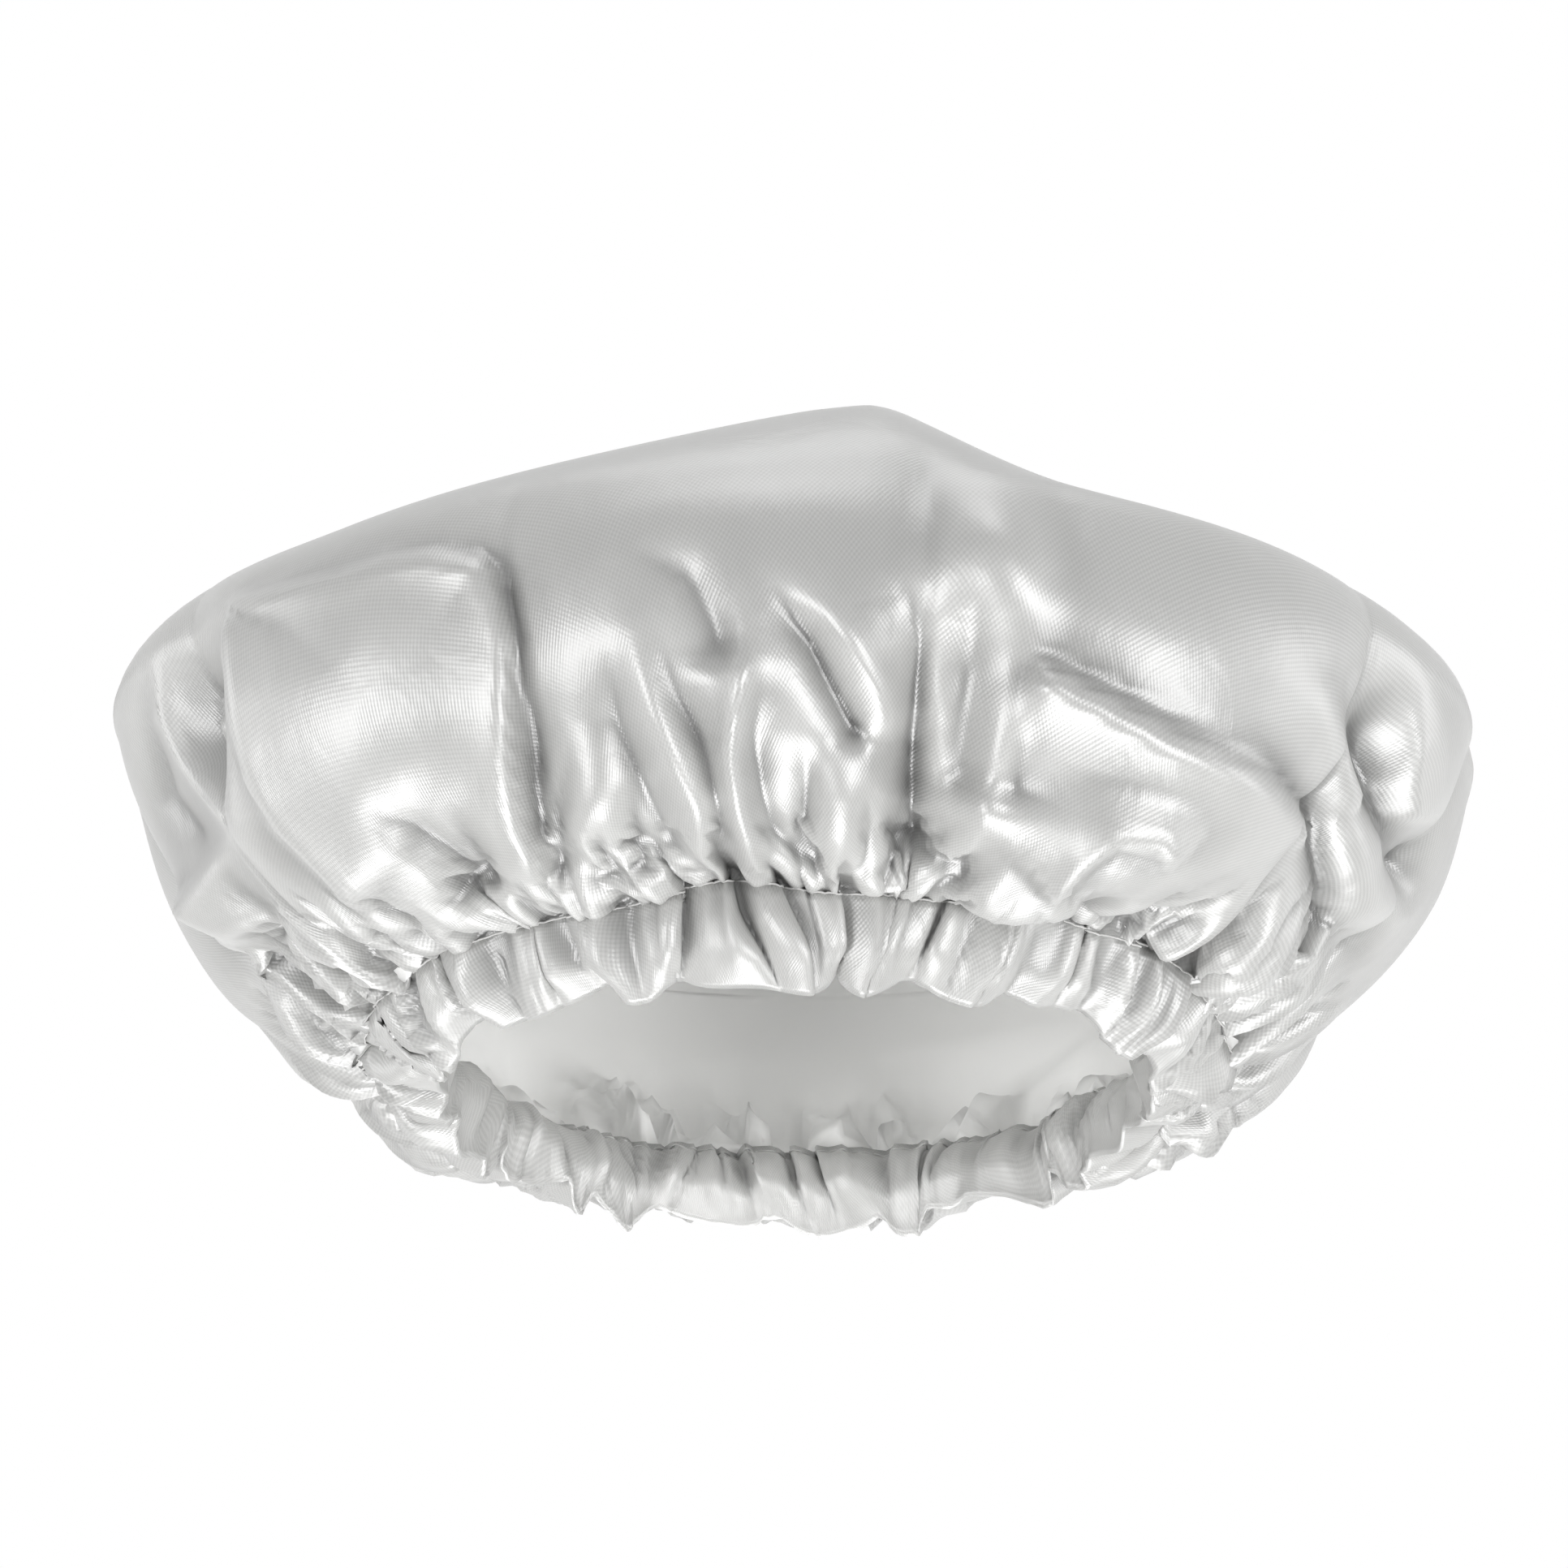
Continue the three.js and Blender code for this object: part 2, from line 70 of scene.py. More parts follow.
# Folds seen on the front of the shell. VALLEY and RIDGE are creases along a line, STEP is a fold
# whose cloth stands proud on the right-hand side of the line and tucks in on its left, and PUFF
# swells, or sinks, inside an ellipse given by its centre and its half-width and half-height. Depth
# and width are real sizes, and points are pixels of the photograph.
VALLEY, RIDGE, STEP, PUFF = "valley", "ridge", "step", "puff"
CREASE_ROUND = 0.8 * MM  # radius at the tip of a crease
CREASE_TAPERS = (0.55, 0.15)  # shares of a crease over which it fades at its top and at its foot
STEP_TAPER = 0.1  # share of a step over which each of its ends fades
STEP_TUCK = 0.3  # how far a step tucks in on its low side, as a share of its depth
Fold = namedtuple("Fold", "name form depth width points")
FRONT_FOLDS = (
    Fold("left puff", PUFF, 6 * MM, 0, ((465, 890), (225, 225))),
    Fold("left puff top", STEP, 7 * MM, 10 * MM,
         ((270, 748), (300, 738), (345, 724), (420, 708),
          (480, 686), (535, 680), (590, 690), (630, 720))),
    Fold("left puff right side", STEP, 7 * MM, 9 * MM,
         ((575, 685), (612, 730), (628, 790), (628, 850), (632, 930), (645, 1010), (672, 1085))),
    Fold("left puff slit", VALLEY, 4 * MM, 2.5 * MM, ((650, 810), (660, 880), (662, 970), (672, 1050))),
    Fold("left puff left side", STEP, 11 * MM, 9 * MM,
         ((465, 1128), (430, 1100), (392, 1062), (348, 1018),
          (312, 962), (290, 890), (284, 810), (288, 735))),
    Fold("left puff low pleat", VALLEY, 8 * MM, 5 * MM,
         ((430, 1010), (470, 1005), (510, 1020), (555, 1055), (600, 1110))),
    Fold("left puff low ridge", RIDGE, 3 * MM, 6 * MM,
         ((420, 1045), (470, 1040), (520, 1070), (560, 1115))),
    Fold("left flap ridge", RIDGE, 8 * MM, 3 * MM,
         ((222, 745), (200, 815), (212, 880), (243, 930),
          (290, 990), (332, 1050), (382, 1112), (462, 1175))),
    Fold("left flap hollow", PUFF, -8 * MM, 0, ((245, 905), (80, 210))),
    Fold("left low hollow", PUFF, -7 * MM, 0, ((340, 1150), (120, 55))),
    Fold("left flap line", VALLEY, 4 * MM, 3 * MM, ((183, 815), (178, 900), (200, 985), (260, 1060))),
    Fold("left flap low edge", STEP, 10 * MM, 10 * MM,
         ((470, 1228), (380, 1185), (305, 1153), (250, 1125), (215, 1098))),
    Fold("left flap fold", VALLEY, 5 * MM, 4 * MM, ((255, 1030), (310, 1095), (380, 1150), (460, 1200))),
    Fold("centre fold under", VALLEY, 4 * MM, 6 * MM,
         ((740, 668), (800, 690), (850, 715), (880, 770), (896, 830))),
    Fold("centre pinch", RIDGE, 7 * MM, 3 * MM,
         ((897, 665), (908, 716), (920, 790), (908, 860),
          (899, 930), (908, 990), (920, 1030), (940, 1085))),
    Fold("centre pinch right", VALLEY, 5 * MM, 4 * MM,
         ((940, 820), (928, 910), (938, 980), (962, 1060))),
    Fold("diagonal crease", VALLEY, 7 * MM, 3.5 * MM,
         ((922, 706), (962, 744), (1000, 794), (1022, 839), (1050, 895), (1067, 929))),
    Fold("diagonal ridge", RIDGE, 5 * MM, 6 * MM, ((950, 700), (1030, 760), (1085, 850), (1100, 920))),
    Fold("left of centre ridge", RIDGE, 6 * MM, 5 * MM,
         ((768, 725), (782, 800), (803, 870), (832, 940), (858, 990), (866, 1030), (857, 1072))),
    Fold("left of centre valley", VALLEY, 6 * MM, 4.5 * MM,
         ((752, 760), (756, 830), (764, 890), (788, 957), (818, 1024), (838, 1072))),
    Fold("right of ridge valley", VALLEY, 6 * MM, 4.5 * MM,
         ((800, 760), (832, 850), (868, 920), (886, 1000), (890, 1070))),
    Fold("low left lobe", PUFF, 5 * MM, 0, ((728, 985), (85, 110))),
    Fold("low centre lobe", PUFF, 5 * MM, 0, ((1045, 1000), (80, 110))),
    Fold("centre right valley", VALLEY, 12 * MM, 5 * MM,
         ((1090, 705), (1126, 750), (1134, 794), (1128, 845), (1126, 929), (1128, 1041), (1125, 1100))),
    Fold("arch puff", PUFF, 7 * MM, 0, ((1205, 700), (115, 145))),
    Fold("arch hollow", VALLEY, 6 * MM, 9 * MM,
         ((1208, 650), (1205, 720), (1198, 800), (1188, 880), (1180, 1000))),
    Fold("arch left roll", RIDGE, 4 * MM, 5 * MM,
         ((1185, 620), (1160, 690), (1148, 780), (1150, 880), (1152, 990))),
    Fold("panel right ridge", RIDGE, 5 * MM, 6 * MM,
         ((1262, 760), (1250, 817), (1238, 873), (1222, 963), (1200, 1040), (1180, 1090))),
    Fold("panel right valley", VALLEY, 3 * MM, 6 * MM, ((1285, 850), (1262, 930), (1245, 1000))),
    Fold("right bulge", PUFF, 5 * MM, 0, ((1405, 1010), (255, 195))),
    Fold("right bulge lip", PUFF, 6 * MM, 0, ((1245, 1085), (110, 70))),
    Fold("right bulge top", STEP, 9 * MM, 10 * MM,
         ((1262, 812), (1319, 839), (1375, 867), (1448, 905),
          (1516, 935), (1566, 963), (1605, 998), (1635, 1055))),
    Fold("right bulge pinch", STEP, 9 * MM, 9 * MM,
         ((1450, 1075), (1425, 1048), (1375, 1042), (1330, 1075), (1300, 1110))),
    Fold("right low lobe", PUFF, 5 * MM, 0, ((1520, 1160), (130, 85))),
    Fold("right low valley", VALLEY, 11 * MM, 5 * MM,
         ((1290, 1150), (1340, 1168), (1400, 1150), (1470, 1118), (1525, 1075), (1570, 1040))),
    Fold("wrinkle 1", VALLEY, 5 * MM, 2.5 * MM, ((612, 1118), (592, 1065), (560, 1015), (530, 990))),
    Fold("wrinkle 2", VALLEY, 5 * MM, 2.5 * MM, ((700, 1098), (690, 1040), (696, 960), (706, 900))),
    Fold("wrinkle 3", VALLEY, 4 * MM, 2.5 * MM, ((752, 1092), (742, 1048), (722, 1000))),
    Fold("wrinkle 4", VALLEY, 4 * MM, 2.5 * MM, ((800, 1090), (782, 1030), (776, 960))),
    Fold("wrinkle 5", VALLEY, 6 * MM, 2.5 * MM, ((1010, 1095), (992, 1040), (996, 960), (985, 900))),
    Fold("wrinkle 6", VALLEY, 4 * MM, 2.5 * MM, ((1058, 1092), (1070, 1030), (1066, 960))),
    Fold("wrinkle 7", VALLEY, 4 * MM, 2.5 * MM, ((1100, 1098), (1106, 1045), (1098, 985))),
    Fold("wrinkle 8", VALLEY, 2.5 * MM, 3 * MM, ((1168, 1105), (1158, 1050), (1165, 990))),
    Fold("wrinkle 9", VALLEY, 2.5 * MM, 3 * MM, ((1215, 1000), (1200, 1050), (1175, 1085))),
    Fold("right lobe", PUFF, 4 * MM, 0, ((1680, 1090), (85, 125))),
    Fold("right lobe edge", VALLEY, 10 * MM, 4 * MM,
         ((1525, 885), (1577, 957), (1625, 1020), (1640, 1110), (1620, 1190))),
    Fold("right side valley", VALLEY, 10 * MM, 4 * MM,
         ((1690, 770), (1660, 840), (1673, 907), (1700, 985), (1738, 1050), (1742, 1130))),
    Fold("right side hollow", PUFF, -8 * MM, 0, ((1705, 920), (50, 120))),
    Fold("right side leaf", RIDGE, 6 * MM, 4 * MM,
         ((1640, 810), (1640, 870), (1655, 940), (1690, 1010))),
    Fold("right side ridge", RIDGE, 4 * MM, 3 * MM,
         ((1750, 850), (1742, 900), (1735, 960), (1752, 1030))),
)

# Lobes as in the CAD source: each starts at a crease, given in degrees from the front towards +X,
# and swells out by its own height before the next crease
LOBES = (
    (-90, 6 * MM),
    (-60, 8 * MM),
    (-22.5, 5 * MM),
    (10, 12 * MM),
    (52.5, 5 * MM),
    (82.5, 6 * MM),
    (112.5, 7 * MM),
    (142.5, 9 * MM),
    (172.5, 7 * MM),
    (202.5, 9 * MM),
    (240, 6 * MM),
)
LOBE_POWER = 0.7

# Where forms of the shell begin, are full, fade and end, as places between the peak, which is 0, the
# widest ring, which is 1, and the seam, which is 2
LOBE_PLACES = (0.72, 1.25, 1.6, 2.0)
DRAWN_PLACES = (0.25, 0.5, 1.88, 2.0)
HANGING_PLACES = (1.55, 1.86, 1.94, 2.0)

# Crown: the power of its curve and the place where its rows grow denser. Its gable is the CAD
# source's, with a blunter ridge at the back.
CROWN_POWER = 2 / 1.85
CROWN_SPARSE = 0.42
PEAK_HOLE = 4 * MM  # distance of the first row from the peak
GABLE_ROUND = 12 * MM
GABLE_ROUND_BACK = 18 * MM
GABLE_POWER = 0.8
GABLE_FULL = 0.65
SHOULDER_FOOT = 15 * MM
SHOULDER_STARTS = (0.58, 0.75)
SHOULDER_SPANS = (0.40, 0.30)

# Pleats round the hem: how many there are, their height, the power of their curve, how far they
# lean as a share of their width, and the seed of their widths
Pleats = namedtuple("Pleats", "count height power lean seed")
EDGE_PLEATS = Pleats(24, 5.5 * MM, 1.0, 0.05, 3)
OUTER_PLEATS = Pleats(66, 5.6 * MM, 0.8, 0.4, 13)
INNER_PLEATS = Pleats(62, 4.4 * MM, 0.8, 0.32, 21)
FINE_PLEATS = Pleats(120, 1.7 * MM, 2, 0.25, 34)
HANGING_PLEATS = Pleats(34, 6 * MM, 0.8, 0.2, 55)
FILM_PLEATS = Pleats(58, 5 * MM, 2, 0.5, 89)
BACK_PLEATS = Pleats(38, 9 * MM, 1.3, 0.3, 144)
PLEAT_WIDTHS = (0.4, 1.6)  # least and most, as shares of the mean
PLEAT_HEIGHTS = (0.35, 1.15)
PLEAT_SKEWS = (0.3, 2.5)  # how far a pleat's crest lies off its middle

# Hem: radius of its folded edge, how far its pleats sway along the rim, distance between its plies
# at the seam and at the edge, and the angles over which the edge's hang is averaged
HEM_ROUND = 1.2 * MM
HEM_SWAY = 5 * MM
SEAM_CHANNEL = 1.4 * MM
EDGE_CHANNEL = 0.8 * MM
HANG_REACHES = (-0.03, 0.0, 0.03)
HEM_SIDES = (0.5, 0.9)  # cosines between which the front and back turn into the sides
HEM_LOOSE = (0.56, 0.94)  # shares of the hem's depth between which its plies come together

# Shell above the seam: lengths over which the hem's pleats fade at the back and at the front, how
# far the seam sways up and down, the share of the fullness at the middle of the front, and the
# stretch above the seam that stays with the hem
FADE_BACK, FADE_FRONT = 9 * MM, 20 * MM
SEAM_SWAY = 1.2 * MM
GATHER_FRONT = 0.1
HELD_STRETCH = 5 * MM

# Where forms near the seam begin, are full, fade and end, as distances past it along the cloth
SWAY_BAND = (-30 * MM, -4 * MM, 0, 6 * MM)
FULLNESS_BAND = (-34 * MM, -9 * MM, -HELD_STRETCH, 4 * MM)
RIPPLE_BAND = (-34 * MM, -12 * MM, -HELD_STRETCH, 0)
RUFFLE_BAND = (-34 * MM, -14 * MM, -6 * MM, 0)

# Film: its distance to the satin in the seam, the lengths above the seam over which it closes up to
# the satin and takes on its gathers, and the heights of its facets
FILM_EDGE = 1 * MM  # how far the film runs past the seam
FILM_SEAM_GAP = 0.9 * MM
FILM_CLOSING = 32 * MM
FILM_FOLLOWS = (60 * MM, 25 * MM)
FILM_FACETS = (1.6 * MM, 1.2 * MM)

# Satin's threads, and how far its two rows of stitches lie below the seam
THREAD_WIDTH = 0.8 * MM
THREAD_SLANT = math.radians(38)
STITCH_DROP = 1.2 * MM

# Studio: half the floor's side and its height, and the strength of the surround's light
FLOOR_HALF, FLOOR_HEIGHT = 3.0, -1.6
SURROUND = 0.24

# Rows of the satin's grid on the crown, the shoulder, the underside, the hem and its turning
SATIN_ROWS = (6, 29, 44, 11, 12)
SATIN_COLUMNS = 480
FRONT_SHARE = 0.25  # how much closer the columns stand at the front than at the back
SIDE_SHARE = 0.20  # how much wider they stand at the left and right
CLOSEST = 1 - FRONT_SHARE - SIDE_SHARE

# Neighbours, in columns and rows, that tell how deep a point lies in a fold, and the painted shade of
# flat cloth: the satin's colour gets painted shade in fold valleys and a painted highlight on crests
SHADE_REACHES = (1, 2, 4, 8)
PAINTED_FLAT_SHADE = 0.4

# Passes of the cloth relaxation, coarse to fine: columns, share of the rows, steps, how far a step
# bends a point to its neighbours, and the seeds of its gathers as height and the lowest and highest
# count round the rim
Pass = namedtuple("Pass", "columns rows steps bend seed lowest highest")
PASSES = (
    Pass(120, 0.35, 100, 0.05, 1.6 * MM, 16, 44),
    Pass(240, 0.60, 80, 0.05, 0.8 * MM, 30, 60),
    Pass(SATIN_COLUMNS, 1.00, 60, 0.05, 0.2 * MM, 60, 110),
)

# Cloth in the relaxation: stiffness of its edges when they are stretched and when they are pressed,
# surplus length of the whole shell, how firmly a step draws it to the shaped cap on the shell and
# at the seam, and how close columns may come, as a share of their distance at the closest
RING_STIFFNESS = (1.0, 0.5)
ROW_STIFFNESS = (1.0, 0.8)
SLANT_STIFFNESS = (0.25, 0.12)
SLACK = 0.02
HOLD_SHELL, HOLD_SEAM = 0.06, 0.004
COLUMN_GAP = 0.12


def as_length(name, description, size):
    """Property of a length in metres."""
    return bpy.props.FloatProperty(name=name, description=description, default=size, unit="LENGTH")


def as_angle(name, description, degrees):
    """Property of an angle, given in degrees."""
    size = math.radians(degrees)
    return bpy.props.FloatProperty(name=name, description=description, default=size, subtype="ANGLE")


def as_share(name, description, default, low, high):
    """Property of a number without a unit, between two limits."""
    return bpy.props.FloatProperty(name=name, description=description, default=default, min=low, max=high)


def as_colour(name, description, default):
    """Property of a colour."""
    return bpy.props.FloatVectorProperty(
        name=name, description=description, default=default, subtype="COLOR")


class CapSizes(bpy.types.PropertyGroup):
    """Sizes of the cap that its maker would change."""

    seam_radius: as_length("Seam radius", "Radius of the gathered hem seam", 87 * MM)
    widest_radius: as_length(
        "Widest radius", "Radius of the shell in its creases at its widest height", 140 * MM)
    widest_height: as_length("Widest height", "Height of the widest ring above the seam", 52 * MM)
    crown_height: as_length("Crown height", "Height of the peak above the seam", SATIN_HIGH.z)
    peak_shift: as_length("Peak shift", "Distance of the peak off the middle, towards +X", 14 * MM)
    gable_left: as_length(
        "Gable, left", "How far the crown falls below a dome on the left of its peak", 7 * MM)
    gable_right: as_length(
        "Gable, right", "How far the crown falls below a dome on the right of its peak", 16 * MM)
    shoulder_left: as_length(
        "Shoulder, left", "How far the left shoulder stands above the dome", 9 * MM)
    shoulder_right: as_length(
        "Shoulder, right", "How far the right shoulder stands above the dome", 7 * MM)
    side_tuck: as_length("Side tuck", "How far the underside is drawn in at the left and right", 9 * MM)
    hem_depth: as_length("Hem depth", "Depth of the hem from its seam to its folded edge", 20.5 * MM)
    hem_lean_front: as_angle("Hem lean, front", "Lean of the hem from upright at the front and back", 24)
    hem_lean_side: as_angle("Hem lean, side", "Lean of the hem from upright at the left and right", 48)
    hem_channel: as_length(
        "Hem channel", "Distance between the plies of the hem round the elastic", 3.6 * MM)
    turn_rise: as_length("Turning", "Height of the turning's raw edge above the seam", 1 * MM)
    fullness: as_share("Fullness", "Length of cloth gathered into each length of the seam", 1.9, 1.0, 3.0)
    scallop: as_share(
        "Scallop", "How much lower the hem's pleats hang, as a share of its depth", 0.4, 0.0, 0.5)
    satin_thickness: as_length("Satin thickness", "Thickness of the satin", 0.25 * MM)
    film_thickness: as_length("Film thickness", "Thickness of the film lining", 0.12 * MM)
    film_inset: as_length("Film inset", "Distance from the plain shell to the film inside it", 18 * MM)
    elastic_width: as_length("Elastic width", "Width of the elastic strip", 8 * MM)
    elastic_ply: as_length("Elastic thickness", "Thickness of the elastic strip", 0.8 * MM)
    elastic_centre: as_length("Elastic depth", "Middle of the elastic below the seam", 9 * MM)
    elastic_lap: as_length("Elastic lap", "Length over which the elastic's ends lap at the back", 14 * MM)
    thread_radius: as_length("Thread radius", "Radius of the sewing thread", 0.22 * MM)
    stitch_length: as_length("Stitch length", "Length of one stitch along the gathered seam", 2.6 * MM)


class CapColours(bpy.types.PropertyGroup):
    """Colours of the cap's cloth, film and sewing, and of the floor."""

    satin: as_colour("Satin", "Colour of the satin", (0.46, 0.46, 0.45))
    film: as_colour("Film", "Colour of the milky film", (0.95, 0.95, 0.94))
    elastic: as_colour("Elastic", "Colour of the knitted elastic", (0.78, 0.77, 0.74))
    thread: as_colour("Thread", "Colour of the sewing thread", (0.56, 0.56, 0.55))
    floor: as_colour("Floor", "Colour of the studio floor", (0.80, 0.80, 0.80))


def ease(x, low, high):
    """Smoothstep 3t^2 - 2t^3 of x from low to high, which may also run downwards."""
    t = np.clip((x - low) / (high - low), 0, 1)
    return t * t * (3 - 2 * t)


def band(x, begin, full, fade, end):
    """Rises from 0 to 1 between begin and full, and falls back to 0 between fade and end."""
    return ease(x, begin, full) * ease(x, end, fade)


def mix(left, right, share):
    """From left to right by a share."""
    return left + (right - left) * share


def unit(v):
    """Vectors along the last axis, made one long."""
    return v / (np.linalg.norm(v, axis=-1, keepdims=True) + 1e-12)


def meridian(sizes):
    """Plain shell from peak to seam as a table of flat distance, radius, height and place.

    Place m runs 0 at the peak, 1 at the widest ring and 2 at the seam. The crown is the curve
    r = R sin(t)^p, z = h + (H - h) cos(t)^p, and below it a quarter ellipse runs in to the seam.
    """
    m = np.linspace(0, 2, 4001)
    t = np.clip(m, 0, 1) * math.pi / 2
    under = np.clip(m - 1, 0, 1) * math.pi / 2
    inset = sizes.widest_radius - sizes.seam_radius
    crown = sizes.widest_radius * np.sin(t) ** CROWN_POWER
    rise = (sizes.crown_height - sizes.widest_height) * np.clip(np.cos(t), 0, 1) ** CROWN_POWER
    r = np.where(m <= 1, crown, sizes.seam_radius + inset * np.cos(under))
    z = np.where(m <= 1, sizes.widest_height + rise, sizes.widest_height * (1 - np.sin(under)))
    s = np.concatenate([[0], np.cumsum(np.hypot(np.diff(r), np.diff(z)))])
    return s, r, z, m


def grid_rows(sizes, share=1.0):
    """Flat distances of the grid's rows, from next to the peak to the turning's raw edge."""
    s, _, _, m = meridian(sizes)
    crown, shoulder, under, hem, turning = (max(3, round(n * share)) for n in SATIN_ROWS)
    half, wide, seam = np.interp([CROWN_SPARSE, 1.0, 2.0], m, s)
    edge = seam + sizes.hem_depth
    return np.concatenate([
        np.linspace(PEAK_HOLE, half, crown, endpoint=False),
        np.linspace(half, wide, shoulder, endpoint=False),
        np.linspace(wide, seam, under, endpoint=False),
        np.linspace(seam, edge, hem, endpoint=False),
        np.linspace(edge, edge + sizes.hem_depth + sizes.turn_rise, turning),
    ])


def ring_angles(columns):
    """Angles of the grid's columns, closest at the front: a = t - k cos(t) + w sin(2t) / 2."""
    turn = np.arange(columns) * FULL_TURN / columns
    return turn - FRONT_SHARE * np.cos(turn) + SIDE_SHARE / 2 * np.sin(2 * turn)


def hem_lean(sizes, a):
    """Lean of the hem at angle a: it grows with cos(a)^2 from the front to the sides."""
    return sizes.hem_lean_front + (sizes.hem_lean_side - sizes.hem_lean_front) * np.cos(a) ** 2


def pleat_wave(a, pleats):
    """Height of pleats round the rim at angles a, from 0 to 1, and how far they lean along it.

    Across the share u of a pleat its height is sin(pi u^g)^p, with a seeded g that sets its crest
    off the middle, and it leans to that side by a share of its width, as a fold laid over.
    """
    draws = np.random.default_rng(pleats.seed)
    widths = draws.uniform(*PLEAT_WIDTHS, pleats.count)
    heights = draws.uniform(*PLEAT_HEIGHTS, pleats.count) * np.minimum(1, 0.4 + 0.6 * widths)
    sides = draws.choice((-1, 1), pleats.count)
    skews = 2.0 ** (sides * pleats.lean * draws.uniform(*PLEAT_SKEWS, pleats.count))
    ends = np.concatenate([[0], np.cumsum(widths)]) * FULL_TURN / widths.sum()
    turn = a % FULL_TURN
    i = np.clip(np.searchsorted(ends, turn, side="right") - 1, 0, pleats.count - 1)
    width = ends[i + 1] - ends[i]
    u = np.clip((turn - ends[i]) / width, 0, 1)
    height = heights[i] * np.clip(np.sin(math.pi * u ** skews[i]), 0, 1) ** pleats.power
    return height, pleats.lean * sides[i] * width * height


def hem_section(sizes, past, a):
    """Depth below the seam, distance outwards and lean along the rim of the hem's cloth.

    The cloth runs down the outer ply, round the folded edge along a hyperbola, and up the inner
    ply. Each ply swells in its own pleats on its side of the elastic's channel, and below the
    elastic the two come together in the wider pleats of the edge, which hang lower at their crests.
    At the left and right the pleats sway further and the edge is crumpled more.
    """
    hem = sizes.hem_depth
    depth = np.hypot(hem, HEM_ROUND) - np.hypot(past - hem, HEM_ROUND)
    q = np.clip(depth / hem, 0, 1)
    inside = ease(past, hem - HEM_ROUND, hem + HEM_ROUND)
    side = ease(np.abs(np.cos(a)), *HEM_SIDES)
    waves = np.sin(5 * a + 1) + np.sin(9 * a) + 0.7 * np.sin(14 * a + 2)
    slew = HEM_SWAY / sizes.seam_radius * q * waves * (1 + 0.5 * side)
    edge, edge_lean = pleat_wave(a + slew, EDGE_PLEATS)
    outer, outer_lean = pleat_wave(a + 0.8 * slew, OUTER_PLEATS)
    inner, inner_lean = pleat_wave(a + 0.8 * slew, INNER_PLEATS)
    fine, fine_lean = pleat_wave(a + 0.6 * slew, FINE_PLEATS)

    tight = mix(0.6, 1.0, ease(q, 0.0, 0.35)) * (1 + 0.15 * side)
    wide = EDGE_PLEATS.height * ease(q, 0.05, 0.6)
    fine = FINE_PLEATS.height * (1 + np.cos(a) ** 2) * fine * mix(1.0, 0.5, q)
    outer_ply = OUTER_PLEATS.height * tight * outer + fine + 0.4 * wide * edge
    inner_ply = INNER_PLEATS.height * tight * inner + fine + 0.25 * wide * (1 - edge)
    channel = mix(SEAM_CHANNEL, sizes.hem_channel, ease(q, 0.0, 0.22))
    apart = mix(outer_ply, -channel - inner_ply, inside)

    together = EDGE_PLEATS.height * (edge - 0.4) + mix(0.2, 0.8, side) * fine
    together = together + mix(0.3, 0.7, side) * OUTER_PLEATS.height * (outer - 0.3)
    together = together + (0.5 - inside) * EDGE_CHANNEL

    loose = ease(q, *HEM_LOOSE)
    along = mix(mix(outer_lean, inner_lean, inside), 0.3 * outer_lean, loose)
    along = along + fine_lean * (1 - loose) + edge_lean * ease(q, 0.3, 1.0)
    near = [pleat_wave(a + slew + shift, EDGE_PLEATS)[0] for shift in HANG_REACHES]
    hang = np.mean(near, axis=0) ** 0.5
    depth = depth * (1 + sizes.scallop * (hang - 0.6) * ease(q, 0.35, 1.0))
    return depth, mix(apart, together, loose), along


def plain_cap(sizes, s, a):
    """Plain cap at flat distance s and angle a: radius, height, angle, place and outward direction.

    The hem's pleats fade out over the last stretch of the shell above the seam. The underside is
    drawn in at the left and right by tuck cos(a)^4 sin(pi (m - 1))^0.8, and the seam sways up and
    down in three waves round the rim.
    """
    table, radius, height, place = meridian(sizes)
    seam = table[-1]
    r, z, m = (np.interp(s, table, column) for column in (radius, height, place))
    step = 0.5 * MM
    inside = np.minimum(s, seam - step)
    dr = np.interp(inside + step, table, radius) - np.interp(inside - step, table, radius)
    dz = np.interp(inside + step, table, height) - np.interp(inside - step, table, height)
    length = np.hypot(dr, dz) + 1e-12
    past = s - seam
    depth, outwards, along = hem_section(sizes, np.maximum(past, 0), a)
    lean = hem_lean(sizes, a)
    hem = past > 0
    fade = ease(past, -mix(FADE_BACK, FADE_FRONT, ease(np.sin(a), -0.3, -0.8)), 0)
    out_r = np.where(hem, np.cos(lean), -dz / length)
    out_z = np.where(hem, -np.sin(lean), dr / length)
    sway = SEAM_SWAY * (np.sin(7 * a + 1) + 0.8 * np.sin(11 * a + 2) + 0.6 * np.sin(17 * a))
    sway = sway * band(past, *SWAY_BAND)
    tuck = sizes.side_tuck * np.cos(a) ** 4 * np.sin(math.pi * np.clip(m - 1, 0, 1)) ** 0.8
    out = outwards * fade - np.where(hem, 0, tuck)
    r = np.where(hem, sizes.seam_radius - depth * np.sin(lean), r) + out_r * out
    z = np.where(hem, -depth * np.cos(lean), z) + out_z * out + sway
    return r, z, a + along * fade, m, out_r, out_z


